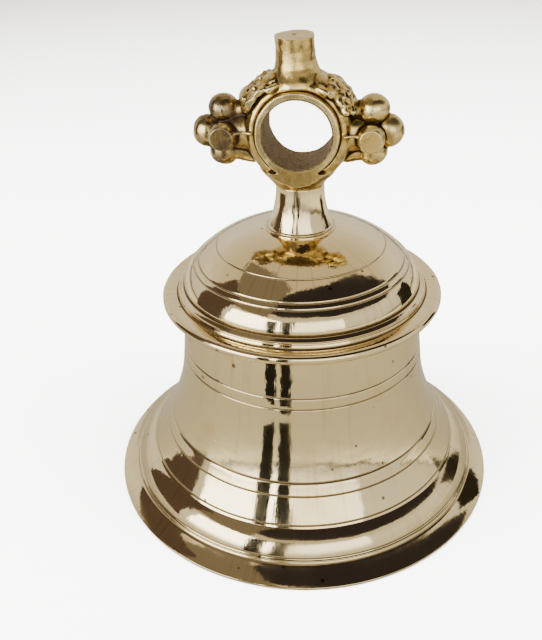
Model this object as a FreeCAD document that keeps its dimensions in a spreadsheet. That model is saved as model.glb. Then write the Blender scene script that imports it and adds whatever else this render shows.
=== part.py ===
"""Temple bell: a turned bell-metal bell with a cast crown ring and a shackled clapper.

The frame has +Z up and its origin on the bell's axis, in the plane of the rim that the
bell stands on.  The bore of the crown ring runs along Y and its two arms along X.
Lengths are millimetres and angles are degrees.
"""

import FreeCAD, Part
import math
import os
import Sketcher

DOCUMENT = FreeCAD.newDocument("TempleBell")

# Driving dimensions: one value each, grouped by the piece that owns it.
SIZES = {
    # Rim, lip and the ovolo (a quarter-round bulge) above the lip
    "rim_radius": 142.24,
    "rim_edge_height": 2.0,
    "rim_edge_round": 0.9,
    "lip_width": 13.84,
    "lip_rise": 9.5,
    "lip_hollow_radius": 38.8,
    "ovolo_width": 13.0,
    "ovolo_rise": 15.4,
    "ovolo_radius": 26.3,
    # Waist: a flare that turns into a slightly tapered cone
    "flare_radius": 138.0,
    "flare_foot_angle": 38.0,
    "waist_taper": 6.0,
    "waist_rise": 117.1,
    # Flange with a round nose, and the bead between flange and dome
    "flange_overhang": 15.4,
    "flange_nose_radius": 3.31,
    "nose_fullness": 0.997,
    "flange_top_fall": 0.4,
    "bead_inset": 4.7,
    "bead_width": 4.6,
    "bead_rise": 5.6,
    "bead_radius": 9.0,
    # Dome: a tight shoulder arc that runs into a wide dome arc
    "shoulder_radius": 27.3,
    "shoulder_foot_angle": 78.0,
    "shoulder_top_angle": 44.2,
    "dome_centre_offset": 15.1,
    # Turned grooves: drops and rises from the nearest moulding
    "groove_radius": 0.7,
    "dome_groove_radius": 57.8,
    "dome_pair_upper_radius": 71.0,
    "dome_pair_lower_radius": 74.3,
    "waist_pair_drop": 33.0,
    "waist_pair_spacing": 8.1,
    "flare_pair_upper_rise": 25.8,
    "flare_pair_spacing": 8.2,
    # Walls of the bell
    "wall_thickness": 5.5,
    "crown_thickness": 7.5,
    "crown_flat_radius": 28.0,
    "bow_thickness": 11.4,
    "bow_radius": 84.0,
    "inner_flare_radius": 184.0,
    "rim_face_width": 13.4,
    # Turned collar between dome and crown ring
    "collar_foot_radius": 24.0,
    "collar_foot_height": 1.3,
    "collar_flare_width": 2.4,
    "collar_flare_rise": 1.5,
    "collar_top_radius": 16.0,
    "collar_lip_height": 3.0,
    "collar_height": 30.9,
    "collar_hollow_radius": 70.0,
    "seat_margin": 0.3,
    # Crown ring with its stub, boss, arms and ball clusters
    "ring_clearance": 1.7,
    "ring_bore_radius": 22.1,
    "ring_depth": 37.2,
    "band_width": 4.6,
    "band_step": 1.7,
    "band_slope": 0.4,
    "shoulder_width": 3.4,
    "shoulder_fall": 0.6,
    "crest_rise": 4.0,
    "boss_radius": 15.8,
    "stub_radius": 12.1,
    "stub_reach": 56.74,
    "stub_lean": 1.9,
    "centre_hole_radius": 1.5,
    "centre_hole_depth": 3.0,
    "arm_root_radius": 14.0,
    "arm_tip_radius": 9.0,
    "arm_root_offset": 25.0,
    "cluster_offset": 47.0,
    "ball_radius": 9.4,
    "ball_spread": 12.8,
    "outer_ball_reach": 9.6,
    "arm_tilt": 1.0,
    # Threads, clearance holes and running fits
    "bolt_radius": 6.0,
    "bolt_hole_clearance": 0.6,
    "thread_gap": 0.05,
    "bolt_engagement": 9.4,
    "tapped_hole_spare": 1.0,
    "running_gap": 0.06,
    # Fastening stack under the crown
    "pad_radius": 19.0,
    "pad_thickness": 2.0,
    "washer_radius": 16.0,
    "washer_thickness": 2.5,
    "nut_height": 10.0,
    "nut_across_flats": 18.0,
    "eye_drop": 1.5,
    "eye_wire_radius": 4.0,
    "eye_ring_radius": 9.0,
    # Shackle: a bow, a pin and the pin's nut
    "bow_wire_radius": 3.5,
    "bow_gap": 0.5,
    "lug_radius": 7.5,
    "lug_margin": 0.5,
    "pin_radius": 4.0,
    "pin_head_radius": 6.4,
    "pin_head_height": 3.0,
    "pin_nut_height": 5.0,
    "pin_nut_across_flats": 13.0,
    "pin_end": 1.5,
    # Clapper: rod with a forged eye, ball and end nut
    "rod_eye_radius": 8.5,
    "rod_eye_gap": 1.0,
    "rod_cheek_gap": 0.5,
    "rod_neck_radius": 3.8,
    "rod_neck_length": 13.0,
    "rod_neck_taper": 6.0,
    "rod_radius": 5.5,
    "rod_foot_radius": 6.5,
    "rod_shoulder_radius": 8.5,
    "rod_shoulder_height": 4.0,
    "tang_radius": 5.0,
    "tang_gap": 0.05,
    "ball_height": 36.0,
    "clapper_ball_radius": 27.0,
    "ball_flat": 1.2,
    "end_nut_height": 5.0,
    "end_nut_across_flats": 16.0,
    "tang_end": 1.5,
}

# Places that follow from the driving dimensions, each an expression over the sheet and
# over the places above it.  "S." stands for the sheet and "L." for this list.
LAYOUT = {
    # Heights and radii up the outside of the bell
    "lip_top_z": "S.rim_edge_height + S.lip_rise",
    "lip_top_r": "S.rim_radius - S.lip_width",
    "foot_z": "L.lip_top_z + S.ovolo_rise",
    "foot_r": "L.lip_top_r - S.ovolo_width",
    "flare_top_z": "L.foot_z + S.flare_radius * (sin(S.flare_foot_angle) - sin(S.waist_taper))",
    "flare_top_r": "L.foot_r + S.flare_radius * (cos(S.flare_foot_angle) - cos(S.waist_taper))",
    "waist_top_z": "L.foot_z + S.waist_rise",
    "waist_top_r": "L.flare_top_r - tan(S.waist_taper) * (L.waist_top_z - L.flare_top_z)",
    "nose_r": "L.waist_top_r + S.flange_overhang"
              " - S.flange_nose_radius * (1 - sqrt(1 - S.nose_fullness^2))",
    "flange_top_z": "L.waist_top_z + 2 * S.flange_nose_radius * S.nose_fullness",
    "bead_foot_r": "L.waist_top_r + S.bead_inset",
    "bead_foot_z": "L.flange_top_z - S.flange_top_fall",
    "shoulder_foot_r": "L.bead_foot_r - S.bead_width",
    "shoulder_foot_z": "L.bead_foot_z + S.bead_rise",
    "shoulder_top_r": "L.shoulder_foot_r"
                      " - S.shoulder_radius * (sin(S.shoulder_foot_angle) - sin(S.shoulder_top_angle))",
    "shoulder_top_z": "L.shoulder_foot_z"
                      " + S.shoulder_radius * (cos(S.shoulder_top_angle) - cos(S.shoulder_foot_angle))",
    "dome_radius": "(L.shoulder_top_r - S.dome_centre_offset) / sin(S.shoulder_top_angle)",
    "dome_centre_z": "L.shoulder_top_z - L.dome_radius * cos(S.shoulder_top_angle)",
    "seat_r": "S.collar_foot_radius + S.seat_margin",
    "seat_z": "L.dome_centre_z + sqrt(L.dome_radius^2 - (L.seat_r - S.dome_centre_offset)^2)",
    # Inside of the bell
    "crown_z": "L.seat_z - S.crown_thickness",
    "inner_dome_r": "L.waist_top_r - S.wall_thickness",
    "inner_dome_radius": "((L.inner_dome_r - S.crown_flat_radius)^2 + (L.crown_z - L.flange_top_z)^2)"
                         " / (2 * (L.crown_z - L.flange_top_z))",
    "bolt_hole_r": "S.bolt_radius + S.bolt_hole_clearance",
    # Crown ring
    "collar_top_z": "L.seat_z + S.collar_height",
    "band_r": "S.ring_bore_radius + S.band_width",
    "crest_foot_r": "L.band_r + S.band_slope + S.shoulder_width",
    "ring_rise": "L.crest_foot_r + S.crest_rise + S.ring_clearance",
    "ring_z": "L.collar_top_z + L.ring_rise",
    "ring_face": "S.ring_depth / 2",
    "step_face": "L.ring_face - S.band_step",
    "crest_foot": "L.step_face - S.shoulder_fall",
    "crest_radius": "(L.crest_foot^2 + S.crest_rise^2) / (2 * S.crest_rise)",
    # Stack under the crown, from the crown down to the shackle
    "pad_z": "L.crown_z - S.pad_thickness",
    "washer_z": "L.pad_z - S.washer_thickness",
    "nut_z": "L.washer_z - S.nut_height",
    "eye_z": "L.nut_z - S.eye_drop - S.eye_wire_radius - S.eye_ring_radius",
    "bow_z": "L.eye_z - S.eye_ring_radius",
    "bow_centre_r": "S.eye_wire_radius + S.bow_gap + S.bow_wire_radius",
    "pin_drop": "S.eye_wire_radius + S.rod_eye_gap + S.rod_eye_radius",
    "pin_z": "L.bow_z - L.pin_drop",
    "lug_width": "2 * (S.bow_wire_radius + S.lug_margin)",
    "cheek_inner": "L.bow_centre_r - L.lug_width / 2",
    "cheek_outer": "L.bow_centre_r + L.lug_width / 2",
    # Clapper, measured down from the pin
    "ball_drop": "L.pin_z - S.ball_height",
    "ball_flat_half": "S.clapper_ball_radius - S.ball_flat",
    "tang_drop": "L.ball_drop + L.ball_flat_half + S.end_nut_height + S.tang_end",
}


def fill_sheet():
    """Write the driving dimensions as plain numbers, each with its alias."""
    sheet = DOCUMENT.addObject("Spreadsheet::Sheet", "Sizes")
    for row, (alias, value) in enumerate(SIZES.items(), start=1):
        sheet.set(f"A{row}", alias)
        sheet.set(f"B{row}", repr(value))
        sheet.setAlias(f"B{row}", alias)
    DOCUMENT.recompute()
    return sheet


def full_names(expression):
    """Spell out the sheet and the layout in an expression."""
    return expression.replace("S.", "Sizes.").replace("L.", "Layout.")


def fill_layout():
    """Bind every derived place to the sheet."""
    layout = DOCUMENT.addObject("App::VarSet", "Layout")
    for name, expression in LAYOUT.items():
        layout.addProperty("App::PropertyFloat", name, "Layout")
        layout.setExpression(name, full_names(expression))
    DOCUMENT.recompute()
    return layout


SHEET = fill_sheet()
PLACES = fill_layout()


def value_of(expression):
    """The present value of an expression, as a plain number."""
    result = PLACES.evalExpression(full_names(expression).replace("Layout.", ""))
    return float(getattr(result, "Value", result))


def bind(feature, **expressions):
    """Bind properties of a feature; an underscore pair stands for a dot."""
    for name, expression in expressions.items():
        feature.setExpression(name.replace("__", "."), full_names(expression))


def new_body(label, height="0"):
    """A body whose own origin lies on the bell's axis at a height."""
    body = DOCUMENT.addObject("PartDesign::Body", label)
    body.Label = label
    bind(body, Placement__Base__z=height)
    return body


def origin_plane(body, role):
    """One of the body's own origin planes."""
    for feature in body.Origin.OriginFeatures:
        if feature.Role == role:
            return feature
    raise LookupError(role)


def new_sketch(body, name, role):
    """An empty sketch on one of the body's origin planes."""
    sketch = body.newObject("Sketcher::SketchObject", name)
    sketch.AttachmentSupport = [(origin_plane(body, role), "")]
    sketch.MapMode = "FlatFace"
    return sketch


def arc_between(start, end, radius, side):
    """An arc from start to end, its centre to the left (1) or right (-1) of that way."""
    across = end - start
    middle = (start + end) * 0.5
    offset = math.sqrt(radius ** 2 - (across.Length / 2) ** 2)
    left = FreeCAD.Vector(-across.y, across.x, 0).normalize()
    centre = middle + left * (side * offset)
    first = math.atan2(start.y - centre.y, start.x - centre.x)
    last = math.atan2(end.y - centre.y, end.x - centre.x)
    if side < 0:
        first, last = last, first
    circle = Part.Circle(centre, FreeCAD.Vector(0, 0, 1), radius)
    return Part.ArcOfCircle(circle, first, last)


def draw_outline(sketch, corners):
    """Draw a closed outline.

    Each corner is (name, x, y) with a straight run to the next corner, or
    (name, x, y, radius, side) with an arc to it.  Coordinates and radii are expressions.
    """
    points = [FreeCAD.Vector(value_of(corner[1]), value_of(corner[2]), 0) for corner in corners]
    starts = []
    ends = []
    for index, corner in enumerate(corners):
        start = points[index]
        end = points[(index + 1) % len(points)]
        if len(corner) == 3:
            edge = sketch.addGeometry(Part.LineSegment(start, end), False)
            starts.append((edge, 1))
            ends.append((edge, 2))
            continue
        radius, side = corner[3], corner[4]
        edge = sketch.addGeometry(arc_between(start, end, value_of(radius), side), False)
        starts.append((edge, 1) if side > 0 else (edge, 2))
        ends.append((edge, 2) if side > 0 else (edge, 1))
        held = sketch.addConstraint(Sketcher.Constraint("Radius", edge, value_of(radius)))
        name_constraint(sketch, held, f"{corner[0]}_radius", radius)
    for index in range(len(corners)):
        following = (index + 1) % len(corners)
        sketch.addConstraint(Sketcher.Constraint("Coincident", *ends[index], *starts[following]))
    for corner, point, start in zip(corners, points, starts):
        hold_point(sketch, corner[0], start, point, corner[1], corner[2])


def hold_point(sketch, name, vertex, point, across, up):
    """Hold a vertex at two expressions, or on an axis where one is zero."""
    origin = (-1, 1)
    if across == "0":
        sketch.addConstraint(Sketcher.Constraint("PointOnObject", *vertex, -2))
    else:
        held = sketch.addConstraint(Sketcher.Constraint("DistanceX", *origin, *vertex, point.x))
        name_constraint(sketch, held, f"{name}_x", across)
    if up == "0":
        sketch.addConstraint(Sketcher.Constraint("PointOnObject", *vertex, -1))
    else:
        held = sketch.addConstraint(Sketcher.Constraint("DistanceY", *origin, *vertex, point.y))
        name_constraint(sketch, held, f"{name}_y", up)


def name_constraint(sketch, index, name, expression):
    """Name a dimension and bind it to an expression."""
    sketch.renameConstraint(index, name)
    sketch.setExpression(f"Constraints.{name}", full_names(expression))


def revolve(body, name, role, corners):
    """Turn a closed outline about the sketch's upright axis."""
    sketch = new_sketch(body, f"{name}_sketch", role)
    draw_outline(sketch, corners)
    turned = body.newObject("PartDesign::Revolution", name)
    turned.Profile = sketch
    turned.ReferenceAxis = (sketch, ["V_Axis"])
    turned.Angle = 360.0
    sketch.Visibility = False
    DOCUMENT.recompute()
    return turned


def checked_cut(body, cut, before):
    """Stop when a cut takes nothing away."""
    DOCUMENT.recompute()
    if body.Shape.Volume >= before - 1e-6:
        raise RuntimeError(f"{cut.Name} cuts nothing")


# The turn that lays a primitive's own Z axis along an axis of the frame.
AXIS_TURN = {
    "X": FreeCAD.Rotation(FreeCAD.Vector(0, 1, 0), 90),
    "Y": FreeCAD.Rotation(FreeCAD.Vector(1, 0, 0), -90),
    "Z": FreeCAD.Rotation(),
}


def primitive(body, kind, name, axis="Z", **expressions):
    """Add or cut a primitive whose own Z axis is turned to lie along an axis."""
    before = body.Shape.Volume if body.Tip else 0.0
    feature = body.newObject(f"PartDesign::{kind}", name)
    feature.Placement = FreeCAD.Placement(FreeCAD.Vector(), AXIS_TURN[axis])
    bind(feature, **expressions)
    if kind.startswith("Subtractive"):
        checked_cut(body, feature, before)
    DOCUMENT.recompute()
    return feature


def groove_places():
    """Centre radius and height of each turned groove, on the bell's outside."""
    on_dome = "L.dome_centre_z + sqrt(L.dome_radius^2 - ({0} - S.dome_centre_offset)^2)"
    on_cone = "L.waist_top_r + tan(S.waist_taper) * (L.waist_top_z - ({0}))"
    on_flare = ("L.foot_r + S.flare_radius * cos(S.flare_foot_angle) - sqrt(S.flare_radius^2"
                " - (L.foot_z + S.flare_radius * sin(S.flare_foot_angle) - ({0}))^2)")
    places = {}
    for name in ("dome_groove_radius", "dome_pair_upper_radius"):
        places[name] = (f"S.{name}", on_dome.format(f"S.{name}"))
    places["dome_pair_lower_radius"] = ("S.dome_pair_lower_radius",
                                        on_dome.format("S.dome_pair_lower_radius"))
    places["shoulder_groove"] = ("L.shoulder_foot_r", "L.shoulder_foot_z")
    upper = "L.waist_top_z - S.waist_pair_drop"
    lower = "L.waist_top_z - S.waist_pair_drop - S.waist_pair_spacing"
    places["waist_pair_upper"] = (on_cone.format(upper), upper)
    places["waist_pair_lower"] = (on_cone.format(lower), lower)
    upper = "L.foot_z + S.flare_pair_upper_rise"
    lower = "L.foot_z + S.flare_pair_upper_rise - S.flare_pair_spacing"
    places["flare_pair_upper"] = (on_flare.format(upper), upper)
    places["flare_pair_lower"] = (on_flare.format(lower), lower)
    return places


def cut_grooves(body):
    """Turn the fine round-bottomed grooves into the outside of the bell."""
    before = body.Shape.Volume
    sketch = new_sketch(body, "groove_sketch", "XZ_Plane")
    for name, (across, up) in groove_places().items():
        centre = FreeCAD.Vector(value_of(across), value_of(up), 0)
        radius = value_of("S.groove_radius")
        circle = Part.Circle(centre, FreeCAD.Vector(0, 0, 1), radius)
        edge = sketch.addGeometry(circle, False)
        held = sketch.addConstraint(Sketcher.Constraint("Radius", edge, radius))
        name_constraint(sketch, held, f"{name}_size", "S.groove_radius")
        hold_point(sketch, name, (edge, 3), centre, across, up)
    cut = body.newObject("PartDesign::Groove", "turned_grooves")
    cut.Profile = sketch
    cut.ReferenceAxis = (sketch, ["V_Axis"])
    cut.Angle = 360.0
    sketch.Visibility = False
    checked_cut(body, cut, before)


def make_bell_body():
    """The bell itself: rim, lip, ovolo, flared waist, flange, bead and dome in one casting."""
    body = new_body("bell_body")
    revolve(body, "bell_turning", "XZ_Plane", [
        ("rim_inside", "S.rim_radius - S.rim_edge_round - S.rim_face_width", "0"),
        ("rim_outside", "S.rim_radius - S.rim_edge_round", "0", "S.rim_edge_round", 1),
        ("rim_round", "S.rim_radius", "S.rim_edge_round"),
        ("rim_edge", "S.rim_radius", "S.rim_edge_height", "S.lip_hollow_radius", -1),
        ("lip_top", "L.lip_top_r", "L.lip_top_z", "S.ovolo_radius", 1),
        ("foot", "L.foot_r", "L.foot_z", "S.flare_radius", -1),
        ("flare_top", "L.flare_top_r", "L.flare_top_z"),
        ("waist_top", "L.waist_top_r", "L.waist_top_z"),
        ("nose_under", "L.nose_r", "L.waist_top_z", "S.flange_nose_radius", 1),
        ("nose_top", "L.nose_r", "L.flange_top_z"),
        ("bead_foot", "L.bead_foot_r", "L.bead_foot_z", "S.bead_radius", 1),
        ("shoulder_foot", "L.shoulder_foot_r", "L.shoulder_foot_z", "S.shoulder_radius", 1),
        ("shoulder_top", "L.shoulder_top_r", "L.shoulder_top_z", "L.dome_radius", 1),
        ("seat", "L.seat_r", "L.seat_z"),
        ("hole_top", "L.bolt_hole_r", "L.seat_z"),
        ("hole_bottom", "L.bolt_hole_r", "L.crown_z"),
        ("crown_flat", "S.crown_flat_radius", "L.crown_z", "L.inner_dome_radius", -1),
        ("inner_dome", "L.inner_dome_r", "L.flange_top_z"),
        ("inner_waist", "L.flare_top_r - S.wall_thickness", "L.flare_top_z",
         "S.inner_flare_radius", 1),
        ("bow", "L.foot_r - S.bow_thickness", "L.foot_z", "S.bow_radius", 1),
    ])
    cut_grooves(body)
    return body


def make_neck_collar():
    """The turned collar that stands on the dome and carries the crown ring."""
    body = new_body("neck_collar", "L.seat_z")
    waist_foot = "S.collar_foot_radius - S.collar_flare_width"
    revolve(body, "collar_turning", "XZ_Plane", [
        ("foot", "S.collar_foot_radius", "0"),
        ("foot_edge", "S.collar_foot_radius", "S.collar_foot_height"),
        ("hollow_foot", waist_foot, "S.collar_foot_height + S.collar_flare_rise",
         "S.collar_hollow_radius", -1),
        ("hollow_top", "S.collar_top_radius", "S.collar_height - S.collar_lip_height"),
        ("lip", "S.collar_top_radius", "S.collar_height"),
        ("bore_top", "L.bolt_hole_r", "S.collar_height"),
        ("bore_foot", "L.bolt_hole_r", "0"),
    ])
    return body


def add_ball_cluster(body, side_name, side):
    """An arm and a cross of five balls on one side of the ring."""
    lift = f"{-side} * S.cluster_offset * tan(S.arm_tilt)"
    arm = primitive(body, "AdditiveCone", f"{side_name}_arm", "X",
                    Radius1="S.arm_root_radius", Radius2="S.arm_tip_radius",
                    Height="S.cluster_offset - S.arm_root_offset")
    if side < 0:
        arm.Placement.Rotation = AXIS_TURN["X"].inverted()
    bind(arm, Placement__Base__x=f"{side} * S.arm_root_offset", Placement__Base__z=lift)
    middle = f"{side} * S.cluster_offset"
    outer = f"{side} * (S.cluster_offset + S.outer_ball_reach)"
    outward, ahead, upward = (FreeCAD.Vector(side, 0, 0), FreeCAD.Vector(0, 1, 0),
                              FreeCAD.Vector(0, 0, 1))
    # Poles and seams lie on the free side of each ball, clear of where the balls meet.
    balls = {
        "outer": (ahead, outward, outer, "0", lift),
        "upper": (ahead, upward, middle, "0", f"{lift} + S.ball_spread"),
        "lower": (ahead, -upward, middle, "0", f"{lift} - S.ball_spread"),
        "front": (upward, outward, middle, "-S.ball_spread", lift),
        "back": (upward, outward, middle, "S.ball_spread", lift),
    }
    for name, (pole, seam, across, along, up) in balls.items():
        ball = primitive(body, "AdditiveSphere", f"{side_name}_{name}_ball",
                         Radius="S.ball_radius", Placement__Base__x=across,
                         Placement__Base__y=along, Placement__Base__z=up)
        ball.Placement.Rotation = FreeCAD.Rotation(seam, FreeCAD.Vector(), pole, "ZXY")


def make_crown_handle():
    """The cast crown: ring, stub above, boss below, and a ball cluster on each arm."""
    body = new_body("crown_handle", "L.ring_z")
    revolve(body, "ring_turning", "XY_Plane", [
        ("front_bore", "S.ring_bore_radius", "-L.ring_face"),
        ("front_band", "L.band_r", "-L.ring_face"),
        ("front_step", "L.band_r + S.band_slope", "-L.step_face"),
        ("front_shoulder", "L.crest_foot_r", "-L.crest_foot", "L.crest_radius", 1),
        ("back_shoulder", "L.crest_foot_r", "L.crest_foot"),
        ("back_step", "L.band_r + S.band_slope", "L.step_face"),
        ("back_band", "L.band_r", "L.ring_face"),
        ("back_bore", "S.ring_bore_radius", "L.ring_face"),
    ])
    primitive(body, "AdditiveCylinder", "boss", Radius="S.boss_radius", Height="L.ring_rise",
              Placement__Base__z="-L.ring_rise")
    lean = FreeCAD.Vector(0, 1, 0)
    stub = primitive(body, "AdditiveCylinder", "stub", Radius="S.stub_radius",
                     Height="S.stub_reach")
    stub.Placement.Rotation = FreeCAD.Rotation(lean, -SHEET.stub_lean)
    bind(stub, Placement__Rotation__Angle="S.stub_lean")
    for side_name, side in (("left", -1), ("right", 1)):
        add_ball_cluster(body, side_name, side)
    primitive(body, "SubtractiveCylinder", "ring_bore", "Y", Radius="S.ring_bore_radius",
              Height="2 * S.ring_depth", Placement__Base__y="-S.ring_depth")
    reach = "2 * (S.cluster_offset + S.outer_ball_reach + S.ball_radius)"
    for name, along in (("front", "-L.ring_face - S.ring_depth"), ("back", "L.ring_face")):
        primitive(body, "SubtractiveBox", f"{name}_grinding", Length=reach, Height=reach,
                  Width="S.ring_depth", Placement__Base__x=f"-({reach}) / 2",
                  Placement__Base__y=along, Placement__Base__z=f"-({reach}) / 2")
    primitive(body, "SubtractiveCylinder", "tapped_hole", Radius="S.bolt_radius",
              Height="S.bolt_engagement + S.tapped_hole_spare", Placement__Base__z="-L.ring_rise")
    mark = primitive(body, "SubtractiveCylinder", "centre_hole", Radius="S.centre_hole_radius",
                     Height="2 * S.centre_hole_depth",
                     Placement__Base__x="-(S.stub_reach - S.centre_hole_depth) * sin(S.stub_lean)",
                     Placement__Base__z="(S.stub_reach - S.centre_hole_depth) * cos(S.stub_lean)")
    mark.Placement.Rotation = FreeCAD.Rotation(lean, -SHEET.stub_lean)
    bind(mark, Placement__Rotation__Angle="S.stub_lean")
    return body


def make_crown_eye_bolt():
    """The forged eye bolt that ties crown, collar and bell together."""
    body = new_body("crown_eye_bolt", "L.eye_z")
    primitive(body, "AdditiveTorus", "eye", "Y", Radius1="S.eye_ring_radius",
              Radius2="S.eye_wire_radius")
    primitive(body, "AdditiveCylinder", "shank", Radius="S.bolt_radius - S.thread_gap",
              Height="L.collar_top_z + S.bolt_engagement - L.eye_z - S.eye_ring_radius",
              Placement__Base__z="S.eye_ring_radius")
    return body


def make_disc(label, height, radius, thickness, hole):
    """A flat round washer with its hole on the bell's axis."""
    body = new_body(label, height)
    primitive(body, "AdditiveCylinder", f"{label}_disc", Radius=radius, Height=thickness)
    primitive(body, "SubtractiveCylinder", f"{label}_hole", Radius=hole, Height=thickness)
    return body


def make_nut(label, across_flats, thickness, hole, height, axis="Z", along="0"):
    """A hexagon nut that sits on its lower face, or on its inner face when it lies on Y."""
    body = new_body(label, height)
    primitive(body, "AdditivePrism", f"{label}_hexagon", axis, Height=thickness,
              Circumradius=f"({across_flats}) / (2 * cos(30))", Placement__Base__y=along)
    primitive(body, "SubtractiveCylinder", f"{label}_thread", axis, Radius=hole,
              Height=thickness, Placement__Base__y=along)
    return body


def make_shackle_bow():
    """The forged U of the shackle, hooked through the eye, with a drilled lug on each leg."""
    body = new_body("shackle_bow", "L.bow_z")
    bend = primitive(body, "AdditiveTorus", "bend", "X", Radius1="L.bow_centre_r",
                     Radius2="S.bow_wire_radius")
    bend.Angle3 = 180.0
    bend.Placement.Rotation = FreeCAD.Rotation(FreeCAD.Vector(0, 0, 1), 90).multiply(
        FreeCAD.Rotation(FreeCAD.Vector(1, 0, 0), 90))
    for name, side in (("front", -1), ("back", 1)):
        primitive(body, "AdditiveCylinder", f"{name}_leg", Radius="S.bow_wire_radius",
                  Height="L.pin_drop", Placement__Base__y=f"{side} * L.bow_centre_r",
                  Placement__Base__z="-L.pin_drop")
        start = "-L.cheek_outer" if side < 0 else "L.cheek_inner"
        primitive(body, "AdditiveCylinder", f"{name}_lug", "Y", Radius="S.lug_radius",
                  Height="L.lug_width", Placement__Base__y=start,
                  Placement__Base__z="-L.pin_drop")
    primitive(body, "SubtractiveCylinder", "pin_hole", "Y", Radius="S.pin_radius + S.running_gap",
              Height="2 * L.cheek_outer", Placement__Base__y="-L.cheek_outer",
              Placement__Base__z="-L.pin_drop")
    return body


def make_shackle_pin():
    """The shackle's pin, its round head in front and its thread behind."""
    body = new_body("shackle_pin", "L.pin_z")
    primitive(body, "AdditiveCylinder", "pin", "Y", Radius="S.pin_radius",
              Height="2 * L.cheek_outer + S.pin_nut_height + S.pin_end",
              Placement__Base__y="-L.cheek_outer")
    primitive(body, "AdditiveCylinder", "pin_head", "Y", Radius="S.pin_head_radius",
              Height="S.pin_head_height", Placement__Base__y="-L.cheek_outer - S.pin_head_height")
    return body


def make_clapper_rod():
    """The forged rod: an eye on the shackle pin, a shank, a shoulder and a threaded tang."""
    body = new_body("clapper_rod", "L.pin_z")
    shoulder_top = "-L.ball_drop + L.ball_flat_half + S.rod_shoulder_height"
    shoulder_foot = "-L.ball_drop + L.ball_flat_half"
    revolve(body, "rod_turning", "XZ_Plane", [
        ("neck_top", "0", "-S.pin_radius - S.rod_eye_gap"),
        ("tang_end", "0", "-L.tang_drop"),
        ("tang_foot", "S.tang_radius", "-L.tang_drop"),
        ("tang_top", "S.tang_radius", shoulder_foot),
        ("shoulder_foot", "S.rod_shoulder_radius", shoulder_foot),
        ("shoulder_top", "S.rod_shoulder_radius", shoulder_top),
        ("shank_foot", "S.rod_foot_radius", shoulder_top),
        ("shank_top", "S.rod_radius", "-S.rod_neck_length - S.rod_neck_taper"),
        ("neck_foot", "S.rod_neck_radius", "-S.rod_neck_length"),
        ("neck_edge", "S.rod_neck_radius", "-S.pin_radius - S.rod_eye_gap"),
    ])
    cheek = "L.cheek_inner - S.rod_cheek_gap"
    primitive(body, "AdditiveCylinder", "rod_eye", "Y", Radius="S.rod_eye_radius",
              Height=f"2 * ({cheek})", Placement__Base__y=f"-({cheek})")
    primitive(body, "SubtractiveCylinder", "rod_eye_hole", "Y",
              Radius="S.pin_radius + S.running_gap", Height=f"2 * ({cheek})",
              Placement__Base__y=f"-({cheek})")
    return body


def make_clapper_ball():
    """The turned ball, faced flat above and below and bored for the rod's tang."""
    body = new_body("clapper_ball", "S.ball_height")
    primitive(body, "AdditiveSphere", "ball", Radius="S.clapper_ball_radius")
    wide = "2 * S.clapper_ball_radius"
    for name, base in (("upper", "L.ball_flat_half"),
                       ("lower", "-L.ball_flat_half - 2 * S.clapper_ball_radius")):
        primitive(body, "SubtractiveBox", f"{name}_facing", Length=wide, Width=wide, Height=wide,
                  Placement__Base__x="-S.clapper_ball_radius",
                  Placement__Base__y="-S.clapper_ball_radius", Placement__Base__z=base)
    primitive(body, "SubtractiveCylinder", "ball_bore", Radius="S.tang_radius + S.tang_gap",
              Height=wide, Placement__Base__z="-S.clapper_ball_radius")
    return body


def make_pieces():
    """Make every piece, from the bell down to the clapper's end nut."""
    tang_hole = "S.tang_radius + S.tang_gap"
    end_nut_z = "S.ball_height - L.ball_flat_half - S.end_nut_height"
    return [
        make_bell_body(),
        make_neck_collar(),
        make_crown_handle(),
        make_crown_eye_bolt(),
        make_disc("crown_pad", "L.pad_z", "S.pad_radius", "S.pad_thickness", "L.bolt_hole_r"),
        make_disc("crown_washer", "L.washer_z", "S.washer_radius", "S.washer_thickness",
                  "L.bolt_hole_r"),
        make_nut("crown_nut", "S.nut_across_flats", "S.nut_height", "S.bolt_radius", "L.nut_z"),
        make_shackle_bow(),
        make_shackle_pin(),
        make_nut("shackle_pin_nut", "S.pin_nut_across_flats", "S.pin_nut_height",
                 "S.pin_radius + S.thread_gap", "L.pin_z", "Y", "L.cheek_outer"),
        make_clapper_rod(),
        make_clapper_ball(),
        make_nut("clapper_nut", "S.end_nut_across_flats", "S.end_nut_height", tang_hole,
                 end_nut_z),
    ]


def check_document(pieces):
    """Stop when any object failed or any piece isn't one sound solid."""
    for item in DOCUMENT.Objects:
        if "Invalid" in item.State or "Error" in item.State:
            raise RuntimeError(f"{item.Name} failed: {item.State}")
    for piece in pieces:
        shape = piece.Shape
        if shape.isNull() or not shape.isValid() or len(shape.Solids) != 1:
            raise RuntimeError(f"{piece.Label} isn't one sound solid")


def write_pieces(pieces):
    """Write one STEP file for each piece, named for its node."""
    os.makedirs("parts", exist_ok=True)
    for piece in pieces:
        piece.Shape.exportStep(f"parts/{piece.Label}.step")
        box = piece.Shape.BoundBox
        print(f"{piece.Label:16s} {piece.Shape.Volume / 1000:8.2f} cm3  "
              f"z {box.ZMin:7.2f} to {box.ZMax:7.2f}  x {box.XMin:7.2f} to {box.XMax:7.2f}")


PIECES = make_pieces()
DOCUMENT.recompute()
check_document(PIECES)
write_pieces(PIECES)
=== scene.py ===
"""Looks of a temple bell: a turned bell with a cast crown ring and a clapper on a shackle.

Lengths inside the classes are millimetres, and angles are degrees, unless a class says
otherwise.  Everything becomes metres where a mesh is made.
"""

import logging
import math
from dataclasses import dataclass, field
from enum import Enum

import bmesh
import bpy
import numpy as np
from mathutils import Matrix, Vector

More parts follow.
